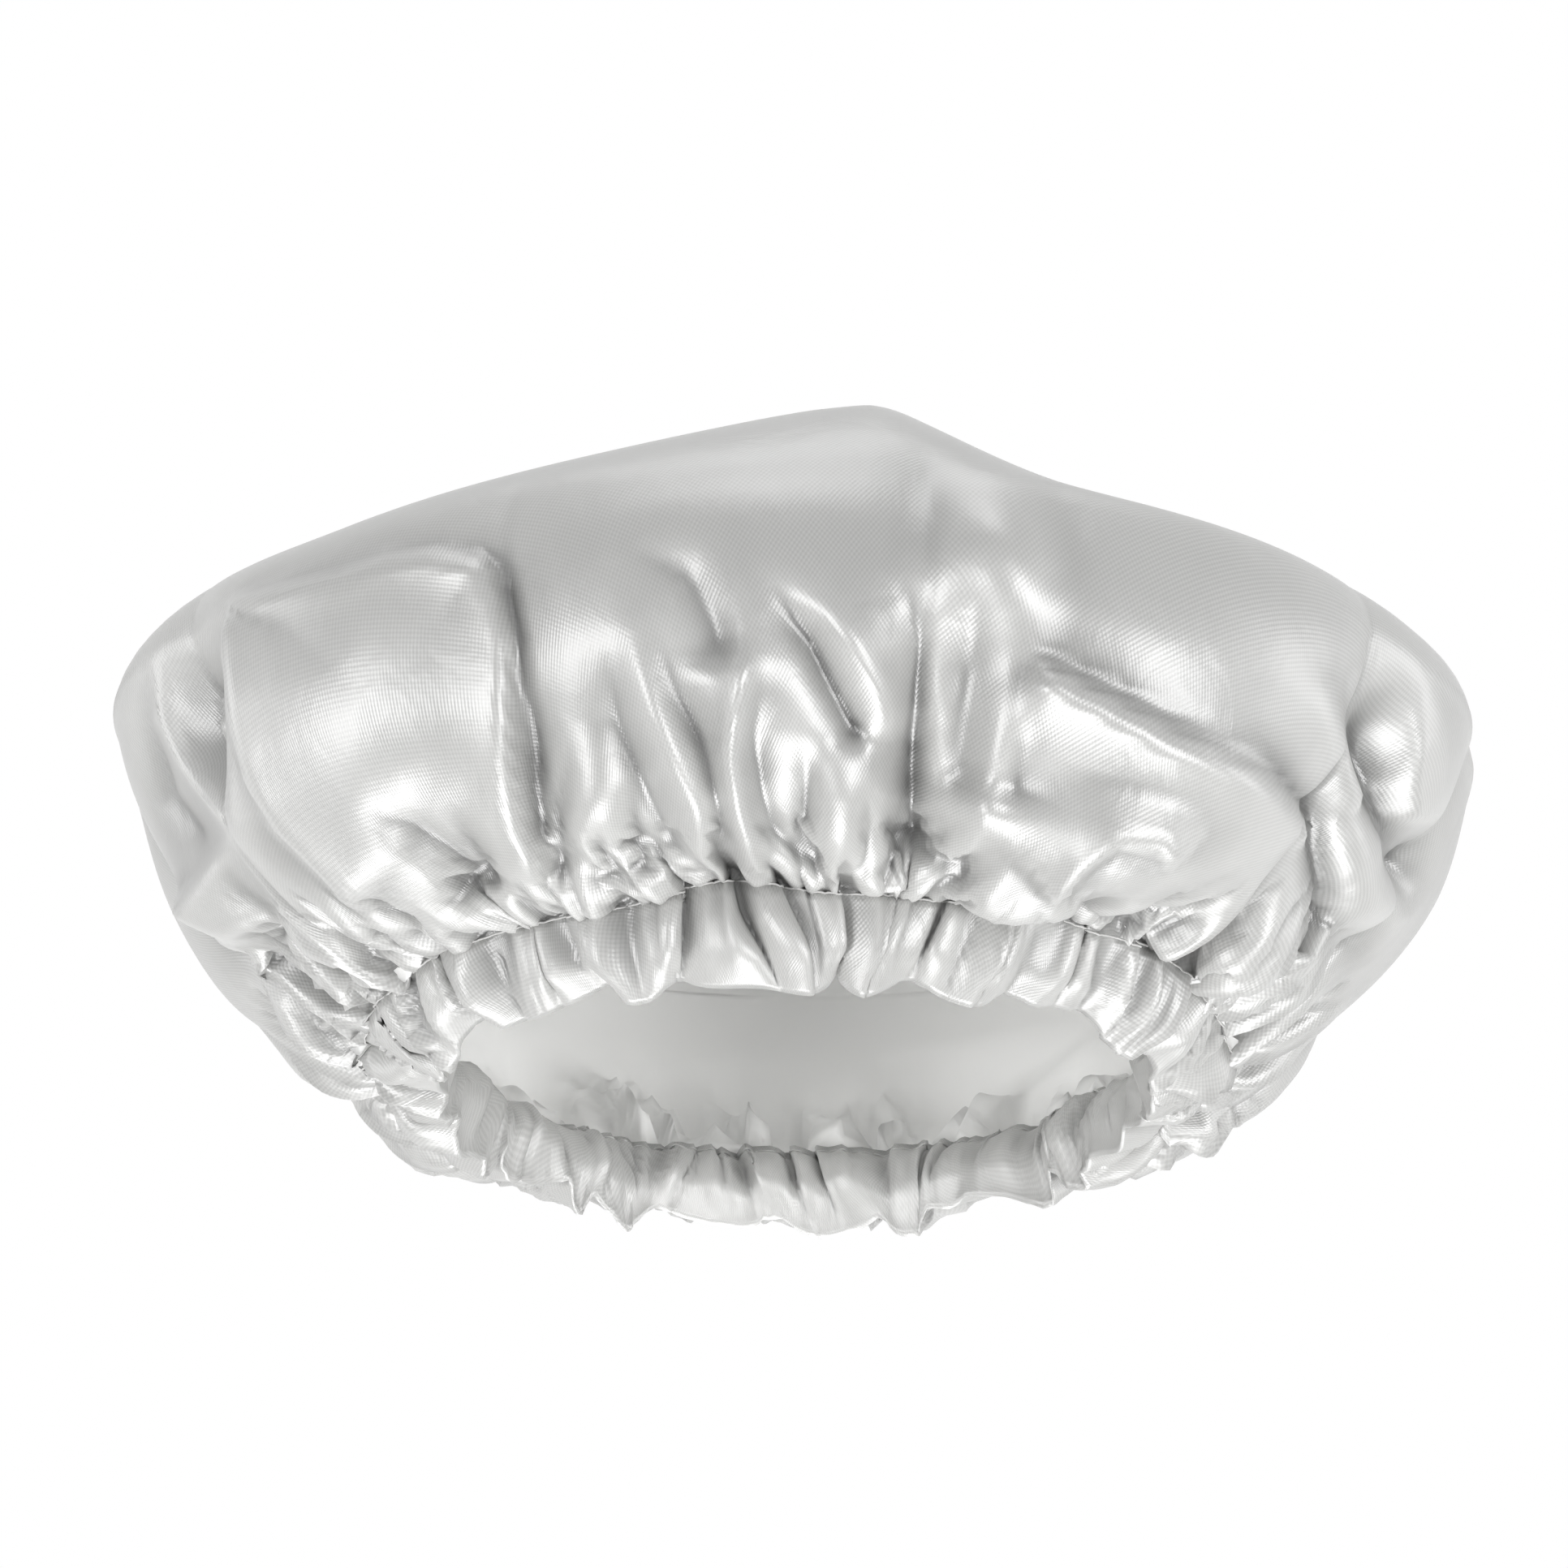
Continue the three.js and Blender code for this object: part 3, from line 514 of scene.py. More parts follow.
def in_space(sizes, r, z, a):
    """Point at radius r, height z and angle a, with the peak shifted and the crown gabled.

    Above the widest ring x gains shift h^2, where h is the share of the crown's rise, and z loses
    fall sin(pi d^0.8), where d is the share of the way from the peak's ridge to the side. Near the
    sides the shoulders rise.
    """
    h = np.clip((z - sizes.widest_height) / (sizes.crown_height - sizes.widest_height), 0, 1)
    x = r * np.cos(a) + sizes.peak_shift * h ** 2
    aside = x - sizes.peak_shift
    right = ease(aside, -GABLE_ROUND, GABLE_ROUND)
    blunt = mix(GABLE_ROUND, GABLE_ROUND_BACK, ease(r * np.sin(a), 0, GABLE_ROUND_BACK))
    span = sizes.widest_radius + mix(sizes.peak_shift, -sizes.peak_shift, right)
    d = np.clip((np.hypot(aside, blunt) - blunt) / span, 0, 1)
    fall = mix(sizes.gable_left, sizes.gable_right, right) * ease(h, 0, GABLE_FULL)
    rise = mix(sizes.shoulder_left, sizes.shoulder_right, right)
    rise = rise * ease(z, SHOULDER_FOOT, sizes.widest_height)
    step = (d - mix(*SHOULDER_STARTS, right)) / mix(*SHOULDER_SPANS, right)
    z = z + rise * ease(step, 0, 1) - fall * np.sin(math.pi * d ** GABLE_POWER)
    return np.stack([x, r * np.sin(a), z], -1)


def camera_axes():
    """Place of the photograph's camera, and its right, up and forward directions."""
    forward = np.array([0, math.cos(CAMERA_ELEVATION), -math.sin(CAMERA_ELEVATION)])
    right = np.array([1.0, 0, 0])
    place = np.array(CAMERA_AIM) - CAMERA_DISTANCE * forward
    return place, right, np.cross(right, forward), forward


def photo_pixels(points):
    """Pixels of the photograph at which points in space are seen."""
    place, right, up, forward = camera_axes()
    ray = points - place
    scale = PIXELS_PER_TANGENT / (ray @ forward)
    return np.stack([PHOTO_SIDE / 2 + ray @ right * scale, PHOTO_SIDE / 2 - ray @ up * scale], -1)


def line_distance(pixels, points):
    """Distance from a line of points in the photograph, its side (right positive) and share along it.

    Each stretch of the line is taken in turn, and a pixel keeps what its nearest stretch says.
    """
    line = np.array(points, float)
    ends = np.concatenate([[0], np.cumsum(np.linalg.norm(np.diff(line, axis=0), axis=1))])
    best = np.full(pixels.shape[:2], np.inf)
    side = np.zeros_like(best)
    share = np.zeros_like(best)
    for start, stop, before, after in zip(line[:-1], line[1:], ends[:-1], ends[1:]):
        along = (stop - start) / (after - before)
        offset = pixels - start
        t = np.clip(offset @ along, 0, after - before)
        gap = np.linalg.norm(offset - t[..., None] * along, axis=-1)
        nearer = gap < best
        best = np.where(nearer, gap, best)
        side = np.where(nearer, offset @ np.array([-along[1], along[0]]), side)
        share = np.where(nearer, (before + t) / ends[-1], share)
    return best * PIXEL, side * PIXEL, share


def fold_height(fold, pixels):
    """Height of one fold over the plain shell at pixels of the photograph.

    A crease of depth D and width w is D exp(-d / w) at the distance d from its line, with its tip
    rounded, and it fades towards its top and its foot. A step is D exp(-d / w) on its proud side and
    -0.3 D exp(-3 d / w) on the other, with an easy rise of w / 2 between, and fades at both ends. A
    puff is D cos(pi q / 2)^2 at the share q of its ellipse.
    """
    if fold.form == PUFF:
        centre, halves = (np.array(pair, float) for pair in fold.points)
        q = np.clip(np.linalg.norm((pixels - centre) / halves, axis=-1), 0, 1)
        return fold.depth * np.cos(q * math.pi / 2) ** 2
    gap, side, share = line_distance(pixels, fold.points)
    if fold.form == STEP:
        taper = band(share, 0, STEP_TAPER, 1 - STEP_TAPER, 1)
        proud = np.exp(-gap / fold.width)
        over = ease(side, -fold.width / 4, fold.width / 4)
        return fold.depth * taper * mix(-STEP_TUCK * proud ** 3, proud, over)
    rising = fold.points[0][1] > fold.points[-1][1]
    from_top = 1 - share if rising else share
    top, foot = CREASE_TAPERS
    taper = band(from_top, 0, top, 1 - foot, 1)
    sign = 1 if fold.form == RIDGE else -1
    profile = np.exp((CREASE_ROUND - np.hypot(gap, CREASE_ROUND)) / fold.width)
    return sign * fold.depth * taper * profile


def lobe_height(m, a):
    """Height of the lobes at place m and angle a: swell sin(pi u)^0.7 across the share u of a lobe."""
    creases, swells = (np.array(column) for column in zip(*LOBES))
    turn = creases[0] + (np.degrees(a) + 90 - creases[0]) % 360
    i = np.searchsorted(creases, turn, side="right") - 1
    ends = np.append(creases, creases[0] + 360)
    u = np.clip((turn - ends[i]) / (ends[i + 1] - ends[i]), 0, 1)
    return swells[i] * np.sin(math.pi * u) ** LOBE_POWER * band(m, *LOBE_PLACES)


def shaped_cap(sizes, s, a):
    """Cap with its lobes and drawn folds, before the cloth is gathered, and its place m.

    Lobes with creases between them, puffs on the side that faces the photograph's camera, small
    bulges that hang over the seam and pleats at the back swell along the shell's outward direction.
    The drawn creases and steps then move the cloth along its line of sight, so that they stay where
    the photograph shows them, or outwards where it is seen from the side.
    """
    r, z, a, m, out_r, out_z = plain_cap(sizes, s, a)
    plain = in_space(sizes, r, z, a)
    out = np.stack([out_r * np.cos(a), out_r * np.sin(a), out_z], -1)
    place = camera_axes()[0]
    facing = (unit(place - plain) * out).sum(-1)
    front = ease(facing, 0.0, 0.25) * ease(np.sin(a), 0.35, -0.05)
    shell = band(m, *DRAWN_PLACES)
    pixels = photo_pixels(plain)
    puffs = sum(fold_height(fold, pixels) for fold in FRONT_FOLDS if fold.form == PUFF)
    hanging, _ = pleat_wave(a, HANGING_PLEATS)
    hanging = HANGING_PLEATS.height * hanging * band(m, *HANGING_PLACES)
    hanging = hanging * mix(0.35, 1.0, ease(np.sin(a), -0.85, -0.5))
    back, _ = pleat_wave(a + 0.12 * np.sin(4 * m + 3 * a), BACK_PLEATS)
    reach = 1.2 + 0.18 * np.sin(5 * a + 1) + 0.14 * np.sin(13 * a)
    back = BACK_PLEATS.height * (back - 0.3) * band(m, reach, reach + 0.55, 1.9, 2.0)
    back = back * ease(np.sin(a), -0.05, 0.4)
    height = lobe_height(m, a) + shell * front * puffs + hanging + back
    swollen = in_space(sizes, r + out_r * height, z + out_z * height, a)
    pixels = photo_pixels(swollen)
    steps = np.stack([fold_height(fold, pixels) for fold in FRONT_FOLDS if fold.form == STEP])
    creases = sum(fold_height(fold, pixels) for fold in FRONT_FOLDS if fold.form in (VALLEY, RIDGE))
    lines = creases + steps.max(0) + steps.min(0)
    level = np.clip(facing, 0, 1)[..., None]
    towards = unit(mix(out, unit(place - swollen), level))
    return swollen + (lines * shell * front)[..., None] * towards, m


def pull(p, q, rest, tension, compression, free_p, free_q):
    """Moves the ends of edges p to q towards the rest length, each by its share of freedom."""
    d = q - p
    length = np.sqrt((d * d).sum(-1)) + 1e-12
    stiff = np.where(length > rest, tension, compression)
    move = (stiff * (length - rest) / length / (free_p + free_q + 1e-9))[..., None] * d
    return p + free_p[..., None] * move, q - free_q[..., None] * move


def pull_rings(x, rest, free, tension, compression):
    """Edges round the rings, even ones and then odd ones."""
    for shift in (0, -1):
        turned, loose, length = (np.roll(array, shift, 1) for array in (x, free, rest))
        p, q = pull(turned[:, 0::2], turned[:, 1::2], length[:, 0::2], tension, compression,
                    loose[:, 0::2], loose[:, 1::2])
        turned[:, 0::2], turned[:, 1::2] = p, q
        x[:] = np.roll(turned, -shift, 1)


def pull_rows(x, rest, free, tension, compression, slant=0):
    """Edges from row to row, straight or slanted by one column, even ones and then odd ones."""
    for first in (0, 1):
        upper = np.arange(first, len(x) - 1, 2)
        lower = upper + 1
        p, q = pull(x[upper], np.roll(x[lower], -slant, 1), rest[upper], tension, compression,
                    free[upper], np.roll(free[lower], -slant, 1))
        x[upper] = p
        x[lower] = np.roll(q, slant, 1)


def edge_lengths(x, slant=0):
    """Lengths from each point to the next row's point, straight or slanted; the last row repeats."""
    lengths = np.linalg.norm(np.roll(x[1:], -slant, 1) - x[:-1], axis=-1)
    return np.concatenate([lengths, lengths[-1:]])


def grid_normals(x):
    """Outward unit normals of a grid of rows that runs from the crown down and round."""
    across = np.roll(x, -1, 1) - np.roll(x, 1, 1)
    return unit(np.cross(np.gradient(x, axis=0), across))


def keep_order(x, free, least):
    """Keeps the free points of each ring in order round the axis, at least an angle apart."""
    turn = np.arctan2(x[..., 1], x[..., 0])
    r = np.hypot(x[..., 0], x[..., 1])
    gap = (np.roll(turn, -1, 1) - turn + math.pi) % FULL_TURN - math.pi
    lack = np.clip(least - gap, 0, None) * 0.5
    turn = turn + np.minimum(free, 1) * (np.roll(lack, 1, 1) - lack)
    x[..., 0] = r * np.cos(turn)
    x[..., 1] = r * np.sin(turn)


def relax(sizes, x, target, rows, m, level):
    """Relaxes the cloth: every edge is pulled to its length in the shaped cap times the fullness.

    Fullness grows from 1 on the shell to its full value just above the seam, so the cloth there
    buckles into gathers between the shell and the pleated hem, least at the front. Each step also
    bends towards the neighbours' mean, is drawn softly to the shaped cap and keeps the points in
    order.
    """
    past = rows[:, None] + np.zeros_like(m) - meridian(sizes)[0][-1]
    around = np.arctan2(target[..., 1], target[..., 0])
    surplus = (sizes.fullness - 1) * mix(GATHER_FRONT, 1.0, ease(np.sin(around), -0.8, -0.3))
    full = 1 + surplus * band(past, *FULLNESS_BAND)
    slack = 1 + SLACK * ease(m, 0.55, 1.0)
    ring = np.linalg.norm(np.roll(target, -1, 1) - target, axis=-1)
    ring_rest = ring * full * slack
    row_rest = edge_lengths(target) * slack
    slants = {slant: np.hypot(row_rest, ring_rest) for slant in (1, -1)}
    for slant in slants:
        drawn = edge_lengths(target, slant)
        slants[slant] = drawn + (slants[slant] - drawn) * ease(full, 1.0, 1.1)
    free = ease(m, 0.3, 0.55) * ease(past, 0, -HELD_STRETCH)
    hold = HOLD_SHELL * ease(past, -12 * MM, -45 * MM) + HOLD_SEAM
    for _ in range(level.steps):
        pull_rings(x, ring_rest, free, *RING_STIFFNESS)
        pull_rows(x, row_rest, free, *ROW_STIFFNESS)
        for slant, rest in slants.items():
            pull_rows(x, rest, free, *SLANT_STIFFNESS, slant)
        mean = np.roll(x, 1, 1) + np.roll(x, -1, 1)
        mean[1:-1] += x[2:] + x[:-2]
        mean[1:-1] /= 4
        mean[[0, -1]] /= 2
        x += (level.bend * free)[..., None] * (mean - x)
        x += (hold * free)[..., None] * (target - x)
        keep_order(x, free, COLUMN_GAP * CLOSEST * FULL_TURN / level.columns)
    return x


def finer_rings(x, columns):
    """Closed rings of points with more columns, by their Fourier series."""
    series = np.fft.rfft(x, axis=1)
    longer = np.zeros((len(x), columns // 2 + 1, 3), complex)
    longer[:, : series.shape[1]] = series
    return np.fft.irfft(longer, columns, axis=1) * (columns / x.shape[1])


def finer(x, rows, new_rows, columns):
    """The grid with more rows and columns: Fourier series round the rings, splines down the rows."""
    y = finer_rings(x, columns)
    i = np.clip(np.searchsorted(rows, new_rows) - 1, 0, len(rows) - 2)
    t = np.clip((new_rows - rows[i]) / (rows[i + 1] - rows[i]), 0, 1)[:, None, None]
    p0, p1, p2, p3 = (y[np.clip(i + o, 0, len(rows) - 1)] for o in (-1, 0, 1, 2))
    return 0.5 * (2 * p1 + (p2 - p0) * t + (2 * p0 - 5 * p1 + 4 * p2 - p3) * t ** 2
                  + (3 * p1 - p0 - 3 * p2 + p3) * t ** 3)


def ripple(a, lowest, highest, seed):
    """Sum of waves at angles a, with seeded heights and phases, one for each count round the rim.

    The sum of h cos(n a + p) is divided by the root of half the sum of h^2, so its spread is one.
    """
    draws = np.random.default_rng(seed)
    counts = np.arange(lowest, highest)
    phases = draws.uniform(0, FULL_TURN, len(counts))
    heights = draws.normal(size=len(counts))
    wave = sum(h * np.cos(n * a + p) for n, h, p in zip(counts, heights, phases))
    return wave / math.sqrt((heights ** 2).sum() / 2)


def gathered_satin(sizes):
    """Grid of the gathered satin, with its rows: each pass adds finer ripples and relaxes them."""
    x = rows = target = None
    seam = meridian(sizes)[0][-1]
    for number, level in enumerate(PASSES):
        new_rows = grid_rows(sizes, level.rows)
        s, a = np.meshgrid(new_rows, ring_angles(level.columns), indexing="ij")
        new_target, m = shaped_cap(sizes, s, a)
        moved = 0 if x is None else finer(x - target, rows, new_rows, level.columns)
        x, rows, target = new_target + moved, new_rows, new_target
        wave = ripple(a, level.lowest, level.highest, seed=11 + number)
        wave = wave * band(s - seam, *RIPPLE_BAND)
        x = x + (level.seed * wave)[..., None] * grid_normals(target)
        x = relax(sizes, x, target, rows, m, level)
    return x, rows


# The gathered satin, once it has been worked out
CAP = {}


def satin_grid(sizes):
    """The gathered satin, worked out once and kept for the pieces that are sewn to it."""
    if "satin" not in CAP:
        CAP["satin"] = gathered_satin(sizes)
    return CAP["satin"]


def grid_faces(rows, columns):
    """Quads of a grid that closes round its columns."""
    index = np.arange(rows * columns).reshape(rows, columns)
    upper, lower = index[:-1], index[1:]
    return np.stack([upper, lower, np.roll(lower, -1, 1), np.roll(upper, -1, 1)], -1).reshape(-1, 4)


def new_piece(name, points, faces, material):
    """Mesh object of a piece at the origin, smooth shaded, with its material."""
    mesh = bpy.data.meshes.new(name)
    mesh.from_pydata(points.reshape(-1, 3).tolist(), [], faces)
    mesh.validate()
    mesh.shade_smooth()
    piece = bpy.data.objects.new(name, mesh)
    bpy.context.scene.collection.objects.link(piece)
    mesh.materials.append(material)
    return piece


def painted_fold_shade(x):
    """How deep each point of a grid lies in its folds: 0 on a crest, 0.4 flat, 1 in a valley.

    Across a few columns, and across a few rows, the mean of the two neighbours stands above a point
    in a valley. Its height along the normal over half their distance is averaged over the reaches.
    The result is painted shade: the satin is painted darker in the valleys and lighter on the crests.
    """
    normal = grid_normals(x)
    depth = np.zeros(x.shape[:2])
    row = np.arange(len(x))
    for reach in SHADE_REACHES:
        pairs = (
            (np.roll(x, reach, 1), np.roll(x, -reach, 1)),
            (x[np.maximum(row - reach, 0)], x[np.minimum(row + reach, len(x) - 1)]),
        )
        for before, after in pairs:
            half = np.linalg.norm(after - before, axis=-1) / 2 + 0.2 * MM
            depth += (((before + after) / 2 - x) * normal).sum(-1) / half
    return np.clip(PAINTED_FLAT_SHADE + 0.8 * depth / len(SHADE_REACHES), 0, 1)


def disc_mesh(name, x, rows, material):
    """Sheet whose grid closes over the peak with a fan, and whose UV map is the flat disc."""
    count, columns = x.shape[:2]
    peak = x[0].mean(0)
    points = np.concatenate([x.reshape(-1, 3), peak[None]])
    fan = np.stack([np.full(columns, count * columns), np.arange(columns),
                    (np.arange(columns) + 1) % columns], -1)
    faces = grid_faces(count, columns).tolist() + fan.tolist()
    piece = new_piece(name, points, faces, material)
    a = ring_angles(columns)
    flat = np.stack([np.outer(rows, np.cos(a)), np.outer(rows, np.sin(a))], -1).reshape(-1, 2)
    flat = np.concatenate([flat, [[0, 0]]]) / (2 * rows[-1]) + 0.5
    corners = np.empty(len(piece.data.loops), np.int32)
    piece.data.loops.foreach_get("vertex_index", corners)
    # painted shade: how deep each point lies in a fold, kept on the mesh for the satin's colour
    painted_shade_layer = piece.data.attributes.new("painted_fold_shade", "FLOAT", "POINT")
    painted_shades = np.append(painted_fold_shade(x).ravel(), PAINTED_FLAT_SHADE)
    painted_shade_layer.data.foreach_set("value", painted_shades.astype(np.float32))
    layer = piece.data.uv_layers.new(name="flat_disc")
    layer.data.foreach_set("uv", flat[corners].astype(np.float32).ravel())
    return piece


def thicken(piece, thickness):
    """Gives a sheet its thickness, half to each side."""
    wall = piece.modifiers.new("thickness", "SOLIDIFY")
    wall.thickness = thickness
    wall.offset = 0


def across_path(centres, along):
    """Directions square to a path round the axis: outwards, and aside."""
    outwards = unit(centres * np.array([1, 1, 0.0]))
    aside = unit(np.cross(along, outwards))
    return np.cross(aside, along), aside


def ring_tube(name, centres, radius, sides, material):
    """Closed tube of round section along a ring of centres; its section lies across the ring."""
    along = unit(np.roll(centres, -1, 0) - np.roll(centres, 1, 0))
    outwards, aside = across_path(centres, along)
    turn = np.arange(sides)[:, None, None] * FULL_TURN / sides
    points = centres + radius * (np.cos(turn) * outwards + np.sin(turn) * aside)
    faces = grid_faces(sides + 1, len(centres)) % (sides * len(centres))
    return new_piece(name, points, faces.tolist(), material)


def tube_faces(rings, sides):
    """Numbers of the points of an open tube, ring by ring, and its quads."""
    index = np.arange(rings * sides).reshape(rings, sides)
    upper, lower = index[:-1], index[1:]
    quads = np.stack([upper, np.roll(upper, -1, 1), np.roll(lower, -1, 1), lower], -1)
    return index, quads.reshape(-1, 4).tolist()


def stretch(piece):
    """Bakes the piece's transform into its mesh, so that it stands at the origin unturned."""
    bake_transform(piece)


def nodes_of(name):
    """New material with its node tree and its shader."""
    material = bpy.data.materials.new(name)
    material.use_nodes = True
    tree = material.node_tree
    return material, tree, tree.nodes["Principled BSDF"]


def add_node(tree, kind, **settings):
    """Adds a node; settings name its properties, or its inputs by name with spaces as underscores."""
    node = tree.nodes.new(kind)
    for key, value in settings.items():
        if hasattr(node, key):
            setattr(node, key, value)
        else:
            node.inputs[key.replace("_", " ")].default_value = value
    return node


def colour_ramp(tree, source, dark, light, low=0.0, high=1.0):
    """Ramp from a dark to a light colour, driven by a texture's value."""
    ramp = add_node(tree, "ShaderNodeValToRGB")
    ramp.color_ramp.elements[0].position = low
    ramp.color_ramp.elements[1].position = high
    ramp.color_ramp.elements[0].color = (*dark, 1)
    ramp.color_ramp.elements[1].color = (*light, 1)
    tree.links.new(source, ramp.inputs[0])
    return ramp.outputs[0]


def shade(colour, factor):
    """A colour made darker or lighter by a factor."""
    return tuple(min(1.0, channel * factor) for channel in colour)


def cloudy(tree, value, colour, dark, light):
    """Colour that goes from a dark to a light factor of itself over the middle of a noise's values."""
    return colour_ramp(tree, value, shade(colour, dark), shade(colour, light), 0.3, 0.7)


def noise(tree, place, **settings):
    """Value of a noise texture at a place."""
    node = add_node(tree, "ShaderNodeTexNoise", **settings)
    tree.links.new(place, node.inputs["Vector"])
    return node.outputs["Fac"]


def mixed(tree, first, second, **settings):
    """Result of a mix of two values or colours."""
    node = add_node(tree, "ShaderNodeMix", **settings)
    tree.links.new(first, node.inputs["A"])
    tree.links.new(second, node.inputs["B"])
    return node.outputs["Result"]


def bump(tree, height, strength, distance, under=None):
    """Normal of a bump made from a height, on top of another bump where there is one."""
    node = add_node(tree, "ShaderNodeBump", Strength=strength, Distance=distance)
    tree.links.new(height, node.inputs["Height"])
    if under is not None:
        tree.links.new(under, node.inputs["Normal"])
    return node.outputs[0]


def satin_material(colours, disc):
    """Satin: fine slanted threads that cross on the disc, soft dents and a stretched highlight.

    Its colour has painted shade in the valleys of the folds and a painted highlight on their crests.
    """
    material, tree, shader = nodes_of("white_satin")
    uv = add_node(tree, "ShaderNodeUVMap", uv_map="flat_disc").outputs[0]
    slanted = add_node(tree, "ShaderNodeMapping", Rotation=(0, 0, THREAD_SLANT))
    tree.links.new(uv, slanted.inputs[0])
    threads = []
    for direction in ("X", "Y"):
        wave = add_node(tree, "ShaderNodeTexWave", wave_type="BANDS", bands_direction=direction,
                        Scale=FULL_TURN / 20 * disc / THREAD_WIDTH, Distortion=0.0)
        tree.links.new(slanted.outputs[0], wave.inputs["Vector"])
        threads.append(wave.outputs["Fac"])
    ribs = mixed(tree, *threads, data_type="FLOAT", Factor=0.4)
    cloud = noise(tree, uv, Scale=26.0, Detail=4.0, Roughness=0.55)
    folds = add_node(tree, "ShaderNodeAttribute", attribute_name="painted_fold_shade").outputs["Fac"]
    colour = cloudy(tree, cloud, colours.satin, 0.97, 1.03)
    ribbed = colour_ramp(tree, ribs, (0.82,) * 3, (1.08,) * 3)
    # painted shade in the valleys of the folds and a painted highlight on their crests
    folded = colour_ramp(tree, folds, (1.1,) * 3, (0.4,) * 3, 0.2, 0.9)
    for factor in (ribbed, folded):
        colour = mixed(tree, colour, factor, data_type="RGBA", blend_type="MULTIPLY", Factor=1.0)
    tree.links.new(colour, shader.inputs["Base Color"])
    rough = add_node(tree, "ShaderNodeMapRange", To_Min=0.36, To_Max=0.45)
    tree.links.new(cloud, rough.inputs["Value"])
    tree.links.new(rough.outputs[0], shader.inputs["Roughness"])
    dents = noise(tree, uv, Scale=34.0, Detail=3.0, Roughness=0.5, Distortion=0.6)
    uneven = bump(tree, dents, 0.3, 1.6 * MM)
    tree.links.new(bump(tree, ribs, 0.35, 0.1 * MM, uneven), shader.inputs["Normal"])
    tangent = add_node(tree, "ShaderNodeTangent", direction_type="UV_MAP", uv_map="flat_disc")
    tree.links.new(tangent.outputs[0], shader.inputs["Tangent"])
    shader.inputs["Anisotropic"].default_value = 0.45
    shader.inputs["IOR"].default_value = 1.8
    shader.inputs["Specular IOR Level"].default_value = 0.9
    shader.inputs["Subsurface Weight"].default_value = 0.15
    shader.inputs["Subsurface Radius"].default_value = (1, 1, 1)
    shader.inputs["Subsurface Scale"].default_value = 4 * MM
    shader.inputs["Sheen Weight"].default_value = 0.08
    shader.inputs["Sheen Roughness"].default_value = 0.4
    return material


def film_material(colours):
    """Milky film: a thin see-through plastic with a faint cloud and a waxy gloss."""
    material, tree, shader = nodes_of("milky_film")
    place = add_node(tree, "ShaderNodeTexCoord").outputs["Object"]
    cloud = noise(tree, place, Scale=18.0, Detail=3.0, Roughness=0.5)
    tree.links.new(cloudy(tree, cloud, colours.film, 0.97, 1.02), shader.inputs["Base Color"])
    grain = noise(tree, place, Scale=900.0, Detail=2.0)
    tree.links.new(bump(tree, grain, 0.05, 0.05 * MM), shader.inputs["Normal"])
    shader.inputs["Roughness"].default_value = 0.32
    shader.inputs["Specular IOR Level"].default_value = 0.45
    shader.inputs["Alpha"].default_value = 0.97
    return material


def fibre_material(name, colour, dark, scale, detail, relief, roughness):
    """Dull fibres: a fine noise, dark in its hollows, with a relief of some strength and distance."""
    material, tree, shader = nodes_of(name)
    place = add_node(tree, "ShaderNodeTexCoord").outputs["Object"]
    fibres = noise(tree, place, Scale=scale, Detail=detail, Roughness=0.6)
    tree.links.new(cloudy(tree, fibres, colour, dark, 1.0), shader.inputs["Base Color"])
    tree.links.new(bump(tree, fibres, *relief), shader.inputs["Normal"])
    shader.inputs["Roughness"].default_value = roughness
    return material


def elastic_material(colours):
    """Knitted elastic: a fine weft that crosses the strip's cords."""
    return fibre_material("knitted_elastic", colours.elastic, dark=0.82, scale=1400.0, detail=3.0,
                          relief=(0.4, 0.15 * MM), roughness=0.9)


def thread_material(colours):
    """Sewing thread: fine fibres and a dull gloss."""
    return fibre_material("sewing_thread", colours.thread, dark=0.85, scale=2600.0, detail=2.0,
                          relief=(0.3, 0.05 * MM), roughness=0.55)


class SHOWERCAP_OT_satin(bpy.types.Operator):
    """Makes the gathered satin shell with its turned hem"""

    bl_idname = "shower_cap.satin"
    bl_label = "Satin shell"

    def execute(self, context):
        sizes, colours = context.scene.cap_sizes, context.scene.cap_colours
        x, rows = satin_grid(sizes)
        disc = 2 * rows[-1]
        piece = disc_mesh("gathered_satin", x, rows, satin_material(colours, disc))
        stretch(piece)
        thicken(piece, sizes.satin_thickness)
        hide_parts("satin_shell")
        return {"FINISHED"}


class SHOWERCAP_OT_film(bpy.types.Operator):
    """Makes the film lining, smooth in the crown and ruffled where it is caught in the seam"""

    bl_idname = "shower_cap.film"
    bl_label = "Film lining"

    def execute(self, context):
        sizes, colours = context.scene.cap_sizes, context.scene.cap_colours
        x, rows = film_grid(sizes)
        piece = disc_mesh("film_lining", x, rows, film_material(colours))
        stretch(piece)
        thicken(piece, sizes.film_thickness)
        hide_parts("film_liner")
        return {"FINISHED"}


